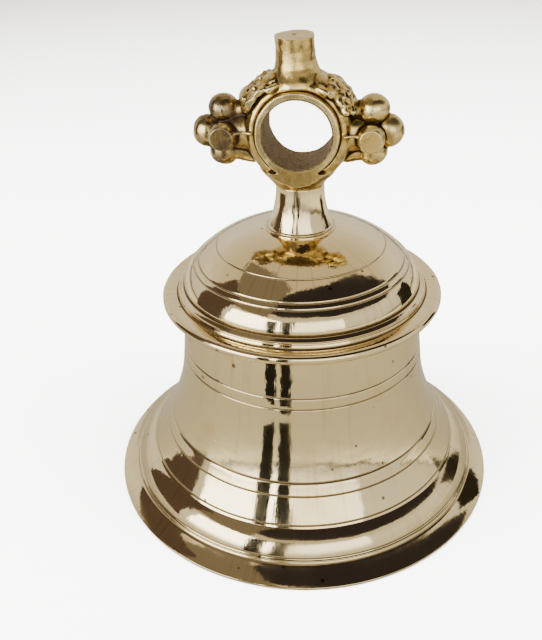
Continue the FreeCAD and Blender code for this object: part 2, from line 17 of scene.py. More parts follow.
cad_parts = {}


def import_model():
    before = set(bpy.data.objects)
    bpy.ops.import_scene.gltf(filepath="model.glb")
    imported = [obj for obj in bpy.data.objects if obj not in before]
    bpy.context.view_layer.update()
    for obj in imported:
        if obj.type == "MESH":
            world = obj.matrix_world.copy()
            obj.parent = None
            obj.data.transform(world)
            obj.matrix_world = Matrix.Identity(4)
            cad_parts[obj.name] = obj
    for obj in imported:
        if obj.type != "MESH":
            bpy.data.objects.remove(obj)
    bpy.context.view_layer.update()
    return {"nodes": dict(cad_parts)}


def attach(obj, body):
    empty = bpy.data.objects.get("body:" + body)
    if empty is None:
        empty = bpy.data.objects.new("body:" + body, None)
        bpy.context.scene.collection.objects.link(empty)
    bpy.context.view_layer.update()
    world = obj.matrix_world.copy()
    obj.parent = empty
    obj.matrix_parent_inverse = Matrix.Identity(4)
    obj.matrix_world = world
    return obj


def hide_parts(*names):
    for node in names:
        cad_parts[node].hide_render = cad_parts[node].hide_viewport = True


MM = 0.001
LOG = logging.getLogger("temple_bell")
# Radius of the waist, where the widths of patterns that run round the bell are measured.
WAIST_RADIUS = 85.8

Point = tuple[float, float]
Place = tuple[float, float, float]
Station = tuple[float, float, float, float]
Colour = tuple[float, float, float, float]
Marks = dict[str, bpy.types.NodeSocket]


class Slot(Enum):
    """Material slots of the record."""

    BELL_METAL = "bell_metal"
    CROWN_BRASS = "crown_brass"
    FORGED_STEEL = "forged_steel"
    TURNED_STEEL = "turned_steel"
    OILED_LEATHER = "oiled_leather"
    CLAPPER_BRASS = "clapper_brass"


class Body(Enum):
    """The body that the new pieces ride on; the kept ones ride on theirs already."""

    BELL = "bell"


class Mask(Enum):
    """Names of the values that a mesh carries for its finish, each from 0 to 1."""

    GROOVE = "groove"
    INSIDE = "inside"
    HOLLOW = "hollow"
    CREST = "crest"


def linear(hex_colour: str) -> Colour:
    """Turn an sRGB hex colour into the linear colour that shaders take.

    Args:
        hex_colour: six hex digits with a leading hash.

    Returns:
        Linear red, green, blue and an alpha of 1.
    """
    channels = []
    for start in (1, 3, 5):
        value = int(hex_colour[start:start + 2], 16) / 255
        channels.append(value / 12.92 if value <= 0.04045 else ((value + 0.055) / 1.055) ** 2.4)
    return (channels[0], channels[1], channels[2], 1.0)


def add_node(tree: bpy.types.NodeTree, kind: str, settings: dict | None = None,
             inputs: dict | None = None,
             stops: list[tuple[float, str]] | None = None) -> bpy.types.Node:
    """Add a shader node.

    Args:
        tree: node tree that takes the node.
        kind: node type without its "ShaderNode" prefix.
        settings: the node's own properties.
        inputs: value, or output socket to link, for each input by name or number.
        stops: positions and hex colours of a colour ramp.

    Returns:
        The new node.
    """
    node = tree.nodes.new(f"ShaderNode{kind}")
    for name, value in (settings or {}).items():
        setattr(node, name, value)
    for name, value in (inputs or {}).items():
        if isinstance(value, bpy.types.NodeSocket):
            tree.links.new(value, node.inputs[name])
        else:
            node.inputs[name].default_value = value
    for index, (position, colour) in enumerate(stops or []):
        ramp = node.color_ramp.elements
        element = ramp[index] if index < 2 else ramp.new(position)
        element.position = position
        element.color = linear(colour)
    return node


@dataclass(frozen=True)
class Finish:
    """A finish that builds its own material.

    Attributes:
        name: what the material is and how it was made.
        slot: material slot of the record it belongs to; not used.
    """

    name: str
    slot: Slot

    def material(self) -> bpy.types.Material:
        """Make the material, or find it again.

        Returns:
            The finished material.
        """
        known = bpy.data.materials.get(self.name)
        if known:
            return known
        made = bpy.data.materials.new(self.name)
        made.use_nodes = True
        tree = made.node_tree
        tree.nodes.clear()
        shader = add_node(tree, "BsdfPrincipled")
        self.paint(tree, shader)
        output = add_node(tree, "OutputMaterial")
        tree.links.new(shader.outputs["BSDF"], output.inputs["Surface"])
        return made

    def paint(self, tree: bpy.types.NodeTree, shader: bpy.types.Node) -> None:
        """Link the finish's nodes to the shader.

        Args:
            tree: the material's node tree.
            shader: its principled shader.
        """
        raise NotImplementedError

    def place(self, tree: bpy.types.NodeTree, size: Place) -> bpy.types.NodeSocket:
        """Give coordinates on the piece for a pattern of a real size.

        Args:
            tree: the material's node tree.
            size: size of one unit of the pattern along X, Y and Z.

        Returns:
            The coordinates, in pattern units.
        """
        where = add_node(tree, "TexCoord")
        scale = tuple(1 / (length * MM) for length in size)
        stretch = add_node(tree, "Mapping",
                           inputs={"Vector": where.outputs["Object"], "Scale": scale})
        return stretch.outputs["Vector"]

    def around(self, tree: bpy.types.NodeTree, width: float, height: float
               ) -> bpy.types.NodeSocket:
        """Give coordinates that run round the bell's axis and up it.

        Args:
            tree: the material's node tree.
            width: width of one unit of the pattern, measured round the waist.
            height: its height.

        Returns:
            Coordinates on a drum, in pattern units, which have no seam.
        """
        where = add_node(tree, "TexCoord")
        flat = add_node(tree, "VectorMath", {"operation": "MULTIPLY"},
                        {0: where.outputs["Object"], 1: (1.0, 1.0, 0.0)})
        unit = add_node(tree, "VectorMath", {"operation": "NORMALIZE"}, {0: flat.outputs[0]})
        drum = add_node(tree, "VectorMath", {"operation": "SCALE"},
                        {0: unit.outputs[0], "Scale": WAIST_RADIUS / width})
        rise = add_node(tree, "VectorMath", {"operation": "MULTIPLY"},
                        {0: where.outputs["Object"], 1: (0.0, 0.0, 1 / (height * MM))})
        both = add_node(tree, "VectorMath", {"operation": "ADD"},
                        {0: drum.outputs[0], 1: rise.outputs[0]})
        return both.outputs[0]


@dataclass(frozen=True)
class PolishedBellMetal(Finish):
    """Bell metal, a pale high-tin bronze: cast, turned on a lathe and buffed to a mirror.

    The eye sees a pale champagne mirror with a warm tint, faint rings from the turning tool,
    soft streaks where the mop ran up and down, brown polish left in the grooves, a few pin
    holes from the casting, and a duller, browner inside that was never buffed.
    """

    pale: str = "#E3D0A1"
    warm: str = "#CFB27A"
    tarnish: str = "#A88A58"
    groove_brown: str = "#4A3218"
    inside_brown: str = "#8A6B3F"
    cloud_size: Place = (38.46, 38.46, 50.0)
    streak_width: float = 3.3
    streak_length: float = 71.43
    pit_spacing: float = 15.0
    speck_spacing: float = 19.231
    sand_size: float = 5.5556
    tool_ring_width: float = 71.5
    tool_ring_spacing: float = 1.1111
    peel_size: Place = (4.762, 4.762, 6.667)

    def paint(self, tree: bpy.types.NodeTree, shader: bpy.types.Node) -> None:
        """Link the finish's nodes to the shader.

        Args:
            tree: the material's node tree.
            shader: its principled shader.
        """
        marks = self.marks(tree)
        shader.inputs["Metallic"].default_value = 1.0
        tree.links.new(self.colour(tree, marks), shader.inputs["Base Color"])
        tree.links.new(self.blur(tree, marks), shader.inputs["Roughness"])
        tree.links.new(self.unevenness(tree, marks), shader.inputs["Normal"])

    def marks(self, tree: bpy.types.NodeTree) -> Marks:
        """Make the patterns that colour, roughness and bump share.

        Args:
            tree: the material's node tree.

        Returns:
            The patterns by name.
        """
        # Clouds in the alloy and in the polish film, some 40 mm wide.
        cloud = add_node(tree, "TexNoise", inputs={
            "Vector": self.place(tree, self.cloud_size), "Scale": 1.0, "Detail": 4.0,
            "Roughness": 0.55})
        # Polishing streaks run up the wall, some 3 mm wide and 70 mm long.
        streak = add_node(tree, "TexNoise", inputs={
            "Vector": self.around(tree, self.streak_width, self.streak_length), "Scale": 1.0,
            "Detail": 3.0, "Roughness": 0.6})
        dull_streak = add_node(tree, "MapRange", inputs={
            "Value": streak.outputs["Fac"], "From Min": 0.56, "From Max": 0.80,
            "To Max": 0.5})
        # Pin holes up to a millimetre wide, most of them missing.
        pits = add_node(tree, "TexVoronoi", inputs={
            "Vector": self.place(tree, (self.pit_spacing,) * 3), "Scale": 1.0})
        pit = add_node(tree, "MapRange", {"interpolation_type": "SMOOTHSTEP"}, {
            "Value": pits.outputs["Distance"], "From Min": 0.018, "From Max": 0.034,
            "To Min": 1.0, "To Max": 0.0})
        # Grain of the moulding sand, left on the inside.
        sand = add_node(tree, "TexNoise", inputs={
            "Vector": self.place(tree, (self.sand_size,) * 3), "Scale": 1.0, "Detail": 5.0,
            "Roughness": 0.7})
        groove = add_node(tree, "Attribute", {"attribute_name": Mask.GROOVE.value})
        inside = add_node(tree, "Attribute", {"attribute_name": Mask.INSIDE.value})
        return {"cloud": cloud.outputs["Fac"], "streak": streak.outputs["Fac"],
                "dull_streak": dull_streak.outputs[0], "pit": pit.outputs[0],
                "sand": sand.outputs["Fac"], "groove": groove.outputs["Fac"],
                "inside": inside.outputs["Fac"]}

    def colour(self, tree: bpy.types.NodeTree, marks: Marks) -> bpy.types.NodeSocket:
        """Lay tint, streaks, pin holes, specks, groove stain and inside over each other.

        Args:
            tree: the material's node tree.
            marks: the shared patterns.

        Returns:
            The colour.
        """
        tint = add_node(tree, "ValToRGB", inputs={"Fac": marks["cloud"]},
                        stops=[(0.36, self.pale), (0.60, self.pale), (0.86, self.warm)])
        streaked = add_node(tree, "Mix", {"data_type": "RGBA"}, {
            0: marks["dull_streak"], 6: tint.outputs["Color"], 7: linear(self.tarnish)})
        pitted = add_node(tree, "Mix", {"data_type": "RGBA"}, {
            0: marks["pit"], 6: streaked.outputs[2], 7: linear(self.groove_brown)})
        # Brown specks of old polish, up to 3 mm wide and some 20 mm apart.
        drops = add_node(tree, "TexVoronoi", inputs={
            "Vector": self.place(tree, (self.speck_spacing,) * 3), "Scale": 1.0})
        ragged = add_node(tree, "Math", {"operation": "MULTIPLY_ADD"}, {
            0: marks["streak"], 1: -0.13, 2: drops.outputs["Distance"]})
        speck = add_node(tree, "MapRange", {"interpolation_type": "SMOOTHSTEP"}, {
            "Value": ragged.outputs[0], "From Min": -0.012, "From Max": 0.012,
            "To Min": 0.8, "To Max": 0.0})
        specked = add_node(tree, "Mix", {"data_type": "RGBA"}, {
            0: speck.outputs[0], 6: pitted.outputs[2], 7: linear(self.groove_brown)})
        grooved = add_node(tree, "Mix", {"data_type": "RGBA"}, {
            0: marks["groove"], 6: specked.outputs[2], 7: linear(self.groove_brown)})
        dull = add_node(tree, "ValToRGB", inputs={"Fac": marks["sand"]},
                        stops=[(0.3, self.groove_brown), (0.7, self.inside_brown)])
        whole = add_node(tree, "Mix", {"data_type": "RGBA"}, {
            0: marks["inside"], 6: grooved.outputs[2], 7: dull.outputs["Color"]})
        return whole.outputs[2]

    def blur(self, tree: bpy.types.NodeTree, marks: Marks) -> bpy.types.NodeSocket:
        """Blur the mirror a little in clouds and streaks, and more in grooves and inside.

        Args:
            tree: the material's node tree.
            marks: the shared patterns.

        Returns:
            The roughness.
        """
        haze = add_node(tree, "MapRange", inputs={
            "Value": marks["cloud"], "From Min": 0.35, "From Max": 0.72,
            "To Min": 0.03, "To Max": 0.14})
        hazed = add_node(tree, "Math", {"operation": "MULTIPLY_ADD"}, {
            0: marks["dull_streak"], 1: 0.16, 2: haze.outputs[0]})
        in_groove = add_node(tree, "Math", {"operation": "MULTIPLY_ADD"}, {
            0: marks["groove"], 1: 0.35, 2: hazed.outputs[0]})
        unbuffed = add_node(tree, "Math", {"operation": "MULTIPLY_ADD", "use_clamp": True}, {
            0: marks["inside"], 1: 0.42, 2: in_groove.outputs[0]})
        return unbuffed.outputs[0]

    def unevenness(self, tree: bpy.types.NodeTree, marks: Marks) -> bpy.types.NodeSocket:
        """Tilt the mirror by tool rings, mop streaks, orange peel, sand grain and pin holes.

        Args:
            tree: the material's node tree.
            marks: the shared patterns.

        Returns:
            The normal.
        """
        # Tool rings about a millimetre apart, wider than real ones so that they show at all.
        rings = add_node(tree, "TexNoise", inputs={
            "Vector": self.around(tree, self.tool_ring_width, self.tool_ring_spacing),
            "Scale": 1.0})
        ring_bump = add_node(tree, "Bump", inputs={
            "Height": rings.outputs["Fac"], "Strength": 0.5, "Distance": 0.012 * MM})
        mop_bump = add_node(tree, "Bump", inputs={
            "Height": marks["streak"], "Strength": 0.6, "Distance": 0.07 * MM,
            "Normal": ring_bump.outputs["Normal"]})
        # Orange peel left by the mop, in dimples some 5 mm wide.
        peel = add_node(tree, "TexNoise", inputs={
            "Vector": self.place(tree, self.peel_size), "Scale": 1.0})
        peel_bump = add_node(tree, "Bump", inputs={
            "Height": peel.outputs["Fac"], "Strength": 0.5, "Distance": 0.12 * MM,
            "Normal": mop_bump.outputs["Normal"]})
        unbuffed = add_node(tree, "Math", {"operation": "MULTIPLY"}, {
            0: marks["sand"], 1: marks["inside"]})
        sand_bump = add_node(tree, "Bump", inputs={
            "Height": unbuffed.outputs[0], "Strength": 0.7, "Distance": 0.5 * MM,
            "Normal": peel_bump.outputs["Normal"]})
        pit_bump = add_node(tree, "Bump", {"invert": True}, {
            "Height": marks["pit"], "Strength": 0.8, "Distance": 0.4 * MM,
            "Normal": sand_bump.outputs["Normal"]})
        return pit_bump.outputs["Normal"]


@dataclass(frozen=True)
class SandCastBrass(Finish):
    """Yellow brass, cast in sand, brushed on its high places, with patina and painted shade in
    its hollows.

    The eye sees golden metal on crests and balls, brown and nearly black metal in every hollow,
    which is patina with painted shade, blurred reflections broken by the sand's grain, a rough
    dark bore that no tool reached, and one or two small green spots.
    """

    gold: str = "#C6AA66"
    straw: str = "#E2CF98"
    brown: str = "#6F5E34"
    umber: str = "#5A4B40"
    dark: str = "#2A1E11"
    verdigris: str = "#5E7F5A"
    bore_dark: str = "#2B2117"
    bore_pale: str = "#AD9263"
    ring_height: float = 260.39
    bore_skin: float = 22.6
    bore_edge: float = 23.2
    left_arm: tuple[float, float] = (-48.0, -18.0)
    patch_size: float = 11.765
    grain_size: float = 0.8333
    spot_spacing: float = 29.412

    def paint(self, tree: bpy.types.NodeTree, shader: bpy.types.Node) -> None:
        """Link the finish's nodes to the shader.

        Args:
            tree: the material's node tree.
            shader: its principled shader.
        """
        marks = self.marks(tree)
        shader.inputs["Metallic"].default_value = 1.0
        tree.links.new(self.colour(tree, marks), shader.inputs["Base Color"])
        tree.links.new(self.blur(tree, marks), shader.inputs["Roughness"])
        dents = add_node(tree, "Bump", inputs={
            "Height": marks["patch"], "Strength": 0.5, "Distance": 0.6 * MM})
        sanded = add_node(tree, "Bump", inputs={
            "Height": marks["grain"], "Strength": 0.32, "Distance": 0.16 * MM,
            "Normal": dents.outputs["Normal"]})
        tree.links.new(sanded.outputs["Normal"], shader.inputs["Normal"])

    def marks(self, tree: bpy.types.NodeTree) -> Marks:
        """Make the patterns that colour, roughness and bump share.

        Args:
            tree: the material's node tree.

        Returns:
            The patterns by name.
        """
        # Patina in patches of some 12 mm, and grain of the moulding sand, some 0.8 mm.
        patch = add_node(tree, "TexNoise", inputs={
            "Vector": self.place(tree, (self.patch_size,) * 3), "Scale": 1.0, "Detail": 6.0,
            "Roughness": 0.62, "Distortion": 0.6})
        grain = add_node(tree, "TexNoise", inputs={
            "Vector": self.place(tree, (self.grain_size,) * 3), "Scale": 1.0, "Detail": 4.0,
            "Roughness": 0.65})
        sunk = add_node(tree, "Attribute", {"attribute_name": Mask.HOLLOW.value})
        hollow = add_node(tree, "MapRange", {"interpolation_type": "SMOOTHSTEP"}, {
            "Value": sunk.outputs["Fac"], "From Min": 0.10, "From Max": 0.72})
        return {"patch": patch.outputs["Fac"], "grain": grain.outputs["Fac"],
                "hollow": hollow.outputs[0], "bore": self.bore_mask(tree)}

    def colour(self, tree: bpy.types.NodeTree, marks: Marks) -> bpy.types.NodeSocket:
        """Lay patina, brushed crests, hollows darkened by patina and painted shade, umber on the
        left arm, bore and green spots over each other.

        Args:
            tree: the material's node tree.
            marks: the shared patterns.

        Returns:
            The colour.
        """
        tone = add_node(tree, "ValToRGB", inputs={"Fac": marks["patch"]},
                        stops=[(0.30, self.brown), (0.46, self.gold), (0.62, self.gold),
                               (0.80, self.straw)])
        # Hollows keep their casting skin and are painted near black, as patina and painted
        # shade; crests are brushed bright.
        raised = add_node(tree, "Attribute", {"attribute_name": Mask.CREST.value})
        crest = add_node(tree, "MapRange", {"interpolation_type": "SMOOTHSTEP"}, {
            "Value": raised.outputs["Fac"], "From Min": 0.25, "From Max": 0.9,
            "To Max": 0.75})
        brushed = add_node(tree, "Mix", {"data_type": "RGBA"}, {
            0: crest.outputs[0], 6: tone.outputs["Color"], 7: linear(self.straw)})
        # Painted shade with patina: the hollows turn near black.
        shaded_and_browned = add_node(tree, "Mix", {"data_type": "RGBA"}, {
            0: marks["hollow"], 6: brushed.outputs[2], 7: linear(self.dark)})
        # Umber in uneven patches on the left arm, set by position alone.
        left_umbered = add_node(tree, "Mix", {"data_type": "RGBA"}, {
            0: self.left_umber_mask(tree, marks), 6: shaded_and_browned.outputs[2], 7: linear(self.umber)})
        gritty = add_node(tree, "ValToRGB", inputs={"Fac": marks["grain"]},
                          stops=[(0.35, self.bore_dark), (0.68, self.bore_pale)])
        lined = add_node(tree, "Mix", {"data_type": "RGBA"}, {
            0: marks["bore"], 6: left_umbered.outputs[2], 7: gritty.outputs["Color"]})
        spots = add_node(tree, "TexVoronoi", inputs={
            "Vector": self.place(tree, (self.spot_spacing,) * 3), "Scale": 1.0})
        spot = add_node(tree, "MapRange", {"interpolation_type": "SMOOTHSTEP"}, {
            "Value": spots.outputs["Distance"], "From Min": 0.03, "From Max": 0.08,
            "To Min": 0.75, "To Max": 0.0})
        spotted = add_node(tree, "Mix", {"data_type": "RGBA"}, {
            0: spot.outputs[0], 6: lined.outputs[2], 7: linear(self.verdigris)})
        return spotted.outputs[2]

    def blur(self, tree: bpy.types.NodeTree, marks: Marks) -> bpy.types.NodeSocket:
        """Blur the brushed metal a little, its hollows more and its bore most.

        Args:
            tree: the material's node tree.
            marks: the shared patterns.

        Returns:
            The roughness.
        """
        satin = add_node(tree, "MapRange", inputs={
            "Value": marks["patch"], "From Min": 0.3, "From Max": 0.7,
            "To Min": 0.32, "To Max": 0.15})
        skin = add_node(tree, "Math", {"operation": "MULTIPLY_ADD"}, {
            0: marks["hollow"], 1: 0.25, 2: satin.outputs[0]})
        rough = add_node(tree, "Math", {"operation": "MULTIPLY_ADD", "use_clamp": True}, {
            0: marks["bore"], 1: 0.45, 2: skin.outputs[0]})
        return rough.outputs[0]

    def left_umber_mask(self, tree: bpy.types.NodeTree, marks: Marks) -> bpy.types.NodeSocket:
        """Mark the left arm, which turns umber in uneven patches.

        Args:
            tree: the material's node tree.
            marks: the shared patterns.

        Returns:
            How far each place turns umber.
        """
        where = add_node(tree, "TexCoord")
        sides = add_node(tree, "SeparateXYZ", inputs={0: where.outputs["Object"]})
        left = add_node(tree, "MapRange", {"interpolation_type": "SMOOTHSTEP"}, {
            "Value": sides.outputs["X"], "From Min": self.left_arm[0] * MM,
            "From Max": self.left_arm[1] * MM, "To Min": 1.0, "To Max": 0.0})
        film = add_node(tree, "MapRange", inputs={
            "Value": marks["patch"], "From Min": 0.42, "From Max": 0.62,
            "To Min": 0.85, "To Max": 0.15})
        tarnish = add_node(tree, "Math", {"operation": "MULTIPLY"}, {
            0: left.outputs[0], 1: film.outputs[0]})
        return tarnish.outputs[0]

    def bore_mask(self, tree: bpy.types.NodeTree) -> bpy.types.NodeSocket:
        """Mark the bore of the crown ring.

        Args:
            tree: the material's node tree.

        Returns:
            A value of 1 on the bore's wall and 0 elsewhere.
        """
        where = add_node(tree, "TexCoord")
        lifted = add_node(tree, "VectorMath", {"operation": "SUBTRACT"}, {
            0: where.outputs["Object"], 1: (0.0, 0.0, self.ring_height * MM)})
        flat = add_node(tree, "VectorMath", {"operation": "MULTIPLY"}, {
            0: lifted.outputs[0], 1: (1.0, 0.0, 1.0)})
        far = add_node(tree, "VectorMath", {"operation": "LENGTH"}, {0: flat.outputs[0]})
        mask = add_node(tree, "MapRange", {"interpolation_type": "SMOOTHSTEP"}, {
            "Value": far.outputs["Value"], "From Min": self.bore_skin * MM,
            "From Max": self.bore_edge * MM, "To Min": 1.0, "To Max": 0.0})
        return mask.outputs[0]


@dataclass(frozen=True)
class WorkedMetal(Finish):
    """A plain metal finish with grain, patches and marks, for the pieces inside the bell.

    The eye sees either the grey scale of a forging, the fine rings of a turning, or brass
    that was turned once and has dulled since.
    """

    light: str = "#8E8C88"
    dark: str = "#2E2B28"
    smoothest: float = 0.3
    roughest: float = 0.6
    grain: float = 0.9
    relief: float = 0.12
    rings: float = 0.0
    patch_size: float = 8.3333
    ring_spacing: float = 0.9091

    def paint(self, tree: bpy.types.NodeTree, shader: bpy.types.Node) -> None:
        """Link the finish's nodes to the shader.

        Args:
            tree: the material's node tree.
            shader: its principled shader.
        """
        fine = add_node(tree, "TexNoise", inputs={
            "Vector": self.place(tree, (self.grain,) * 3), "Scale": 1.0, "Detail": 4.0,
            "Roughness": 0.6})
        patch = add_node(tree, "TexNoise", inputs={
            "Vector": self.place(tree, (self.patch_size,) * 3), "Scale": 1.0, "Detail": 5.0,
            "Roughness": 0.6})
        both = add_node(tree, "Mix", {"data_type": "FLOAT"}, {
            0: 0.35, 2: patch.outputs["Fac"], 3: fine.outputs["Fac"]})
        tone = add_node(tree, "ValToRGB", inputs={"Fac": both.outputs[0]},
                        stops=[(0.34, self.dark), (0.64, self.light)])
        tree.links.new(tone.outputs["Color"], shader.inputs["Base Color"])
        shader.inputs["Metallic"].default_value = 1.0
        rough = add_node(tree, "MapRange", inputs={
            "Value": both.outputs[0], "From Min": 0.35, "From Max": 0.65,
            "To Min": self.roughest, "To Max": self.smoothest})
        tree.links.new(rough.outputs[0], shader.inputs["Roughness"])
        turned = add_node(tree, "TexNoise", inputs={
            "Vector": self.around(tree, WAIST_RADIUS, self.ring_spacing), "Scale": 1.0,
            "Detail": 1.0})
        ring_bump = add_node(tree, "Bump", inputs={
            "Height": turned.outputs["Fac"], "Strength": self.rings, "Distance": 0.05 * MM})
        bump = add_node(tree, "Bump", inputs={
            "Height": both.outputs[0], "Strength": 0.6, "Distance": self.relief * MM,
            "Normal": ring_bump.outputs["Normal"]})
        tree.links.new(bump.outputs["Normal"], shader.inputs["Normal"])


@dataclass(frozen=True)
class OiledLeather(Finish):
    """Cowhide, oiled and punched from sheet.

    The eye sees dark brown, a pebbled grain of about a millimetre and paler rubbed patches.
    """

    base: str = "#4A2C18"
    rubbed: str = "#8A5E38"
    pebble_size: float = 1.1111
    patch_size: float = 6.6667

    def paint(self, tree: bpy.types.NodeTree, shader: bpy.types.Node) -> None:
        """Link the finish's nodes to the shader.

        Args:
            tree: the material's node tree.
            shader: its principled shader.
        """
        pebble = add_node(tree, "TexVoronoi", {"feature": "SMOOTH_F1"}, {
            "Vector": self.place(tree, (self.pebble_size,) * 3), "Scale": 1.0})
        wear = add_node(tree, "TexNoise", inputs={
            "Vector": self.place(tree, (self.patch_size,) * 3), "Scale": 1.0, "Detail": 4.0})
        tone = add_node(tree, "ValToRGB", inputs={"Fac": wear.outputs["Fac"]},
                        stops=[(0.40, self.base), (0.75, self.rubbed)])
        tree.links.new(tone.outputs["Color"], shader.inputs["Base Color"])
        rough = add_node(tree, "MapRange", inputs={
            "Value": wear.outputs["Fac"], "To Min": 0.45, "To Max": 0.7})
        tree.links.new(rough.outputs[0], shader.inputs["Roughness"])
        bump = add_node(tree, "Bump", {"invert": True}, {
            "Height": pebble.outputs["Distance"], "Strength": 0.6, "Distance": 0.3 * MM})
        tree.links.new(bump.outputs["Normal"], shader.inputs["Normal"])


BELL_METAL = PolishedBellMetal("buffed bell metal", Slot.BELL_METAL)
CROWN_BRASS = SandCastBrass("brushed sand-cast brass", Slot.CROWN_BRASS)
# Forgings keep a grey-black scale that is rough and faintly pitted.
FORGED_STEEL = WorkedMetal("forged steel with scale", Slot.FORGED_STEEL, light="#77716A",
                           dark="#211E1B", smoothest=0.42, roughest=0.72, grain=1.4,
                           relief=0.3)
# Turned steel stays pale and shows its tool rings.
TURNED_STEEL = WorkedMetal("bright turned steel", Slot.TURNED_STEEL, light="#C3C3C2",
                           dark="#7E7B77", smoothest=0.2, roughest=0.42, grain=0.6,
                           relief=0.04, rings=0.5)
# Turned brass dulls to an olive gold with darker patches.
CLAPPER_BRASS = WorkedMetal("dulled turned brass", Slot.CLAPPER_BRASS, light="#C9A458",
                            dark="#6F5227", smoothest=0.24, roughest=0.5, grain=0.8,
                            relief=0.06, rings=0.6)
OILED_LEATHER = OiledLeather("oiled leather", Slot.OILED_LEATHER)


def arc_points(start: Point, end: Point, radius: float, side: int, step: float) -> np.ndarray:
    """Sample an arc.

    Args:
        start: first point.
        end: last point.
        radius: the arc's radius.
        side: 1 when the centre is to the left of the way from start to end, or -1.
        step: distance between samples.

    Returns:
        Points from start up to, and without, end.
    """
    first = np.array(start, float)
    last = np.array(end, float)
    across = last - first
    length = float(np.hypot(*across))
    left = np.array([-across[1], across[0]]) / length
    offset = math.sqrt(max(radius ** 2 - (length / 2) ** 2, 0.0))
    centre = (first + last) / 2 + left * side * offset
    begin = math.atan2(*(first - centre)[::-1])
    sweep = math.atan2(*(last - centre)[::-1]) - begin
    sweep = (sweep + math.pi) % (2 * math.pi) - math.pi
    count = max(int(radius * abs(sweep) / step), 2)
    angles = begin + sweep * np.arange(count) / count
    return np.c_[centre[0] + radius * np.cos(angles), centre[1] + radius * np.sin(angles)]


def line_points(start: Point, end: Point, step: float) -> np.ndarray:
    """Sample a straight run.

    Args:
        start: first point.
        end: last point.
        step: distance between samples.

    Returns:
        Points from start up to, and without, end.
    """
    first = np.array(start, float)
    last = np.array(end, float)
    count = max(int(np.hypot(*(last - first)) / step), 2)
    return first + (last - first) * (np.arange(count) / count)[:, None]


@dataclass(frozen=True)
class Corner:
    """A corner of a turned outline.

    Attributes:
        radius: distance from the turning axis.
        height: height up the axis.
        bend: radius of the arc to the next corner, or 0 for a straight run.
        side: side of that arc's centre, as in arc_points.
        ease: radius that the corner itself is rounded to.
    """

    radius: float
    height: float
    bend: float = 0.0
    side: int = 1
    ease: float = 0.0


@dataclass(frozen=True)
class Relief:
    """A fine groove or bead turned into an outline.

    Attributes:
        radius: distance from the axis of its middle.
        height: height of its middle.
        depth: how far it goes in, negative for a bead that stands out.
        width: its full width.
        stain: how dark polish left in it is, from 0 to 1.
    """

    radius: float
    height: float
    depth: float
    width: float
    stain: float = 1.0


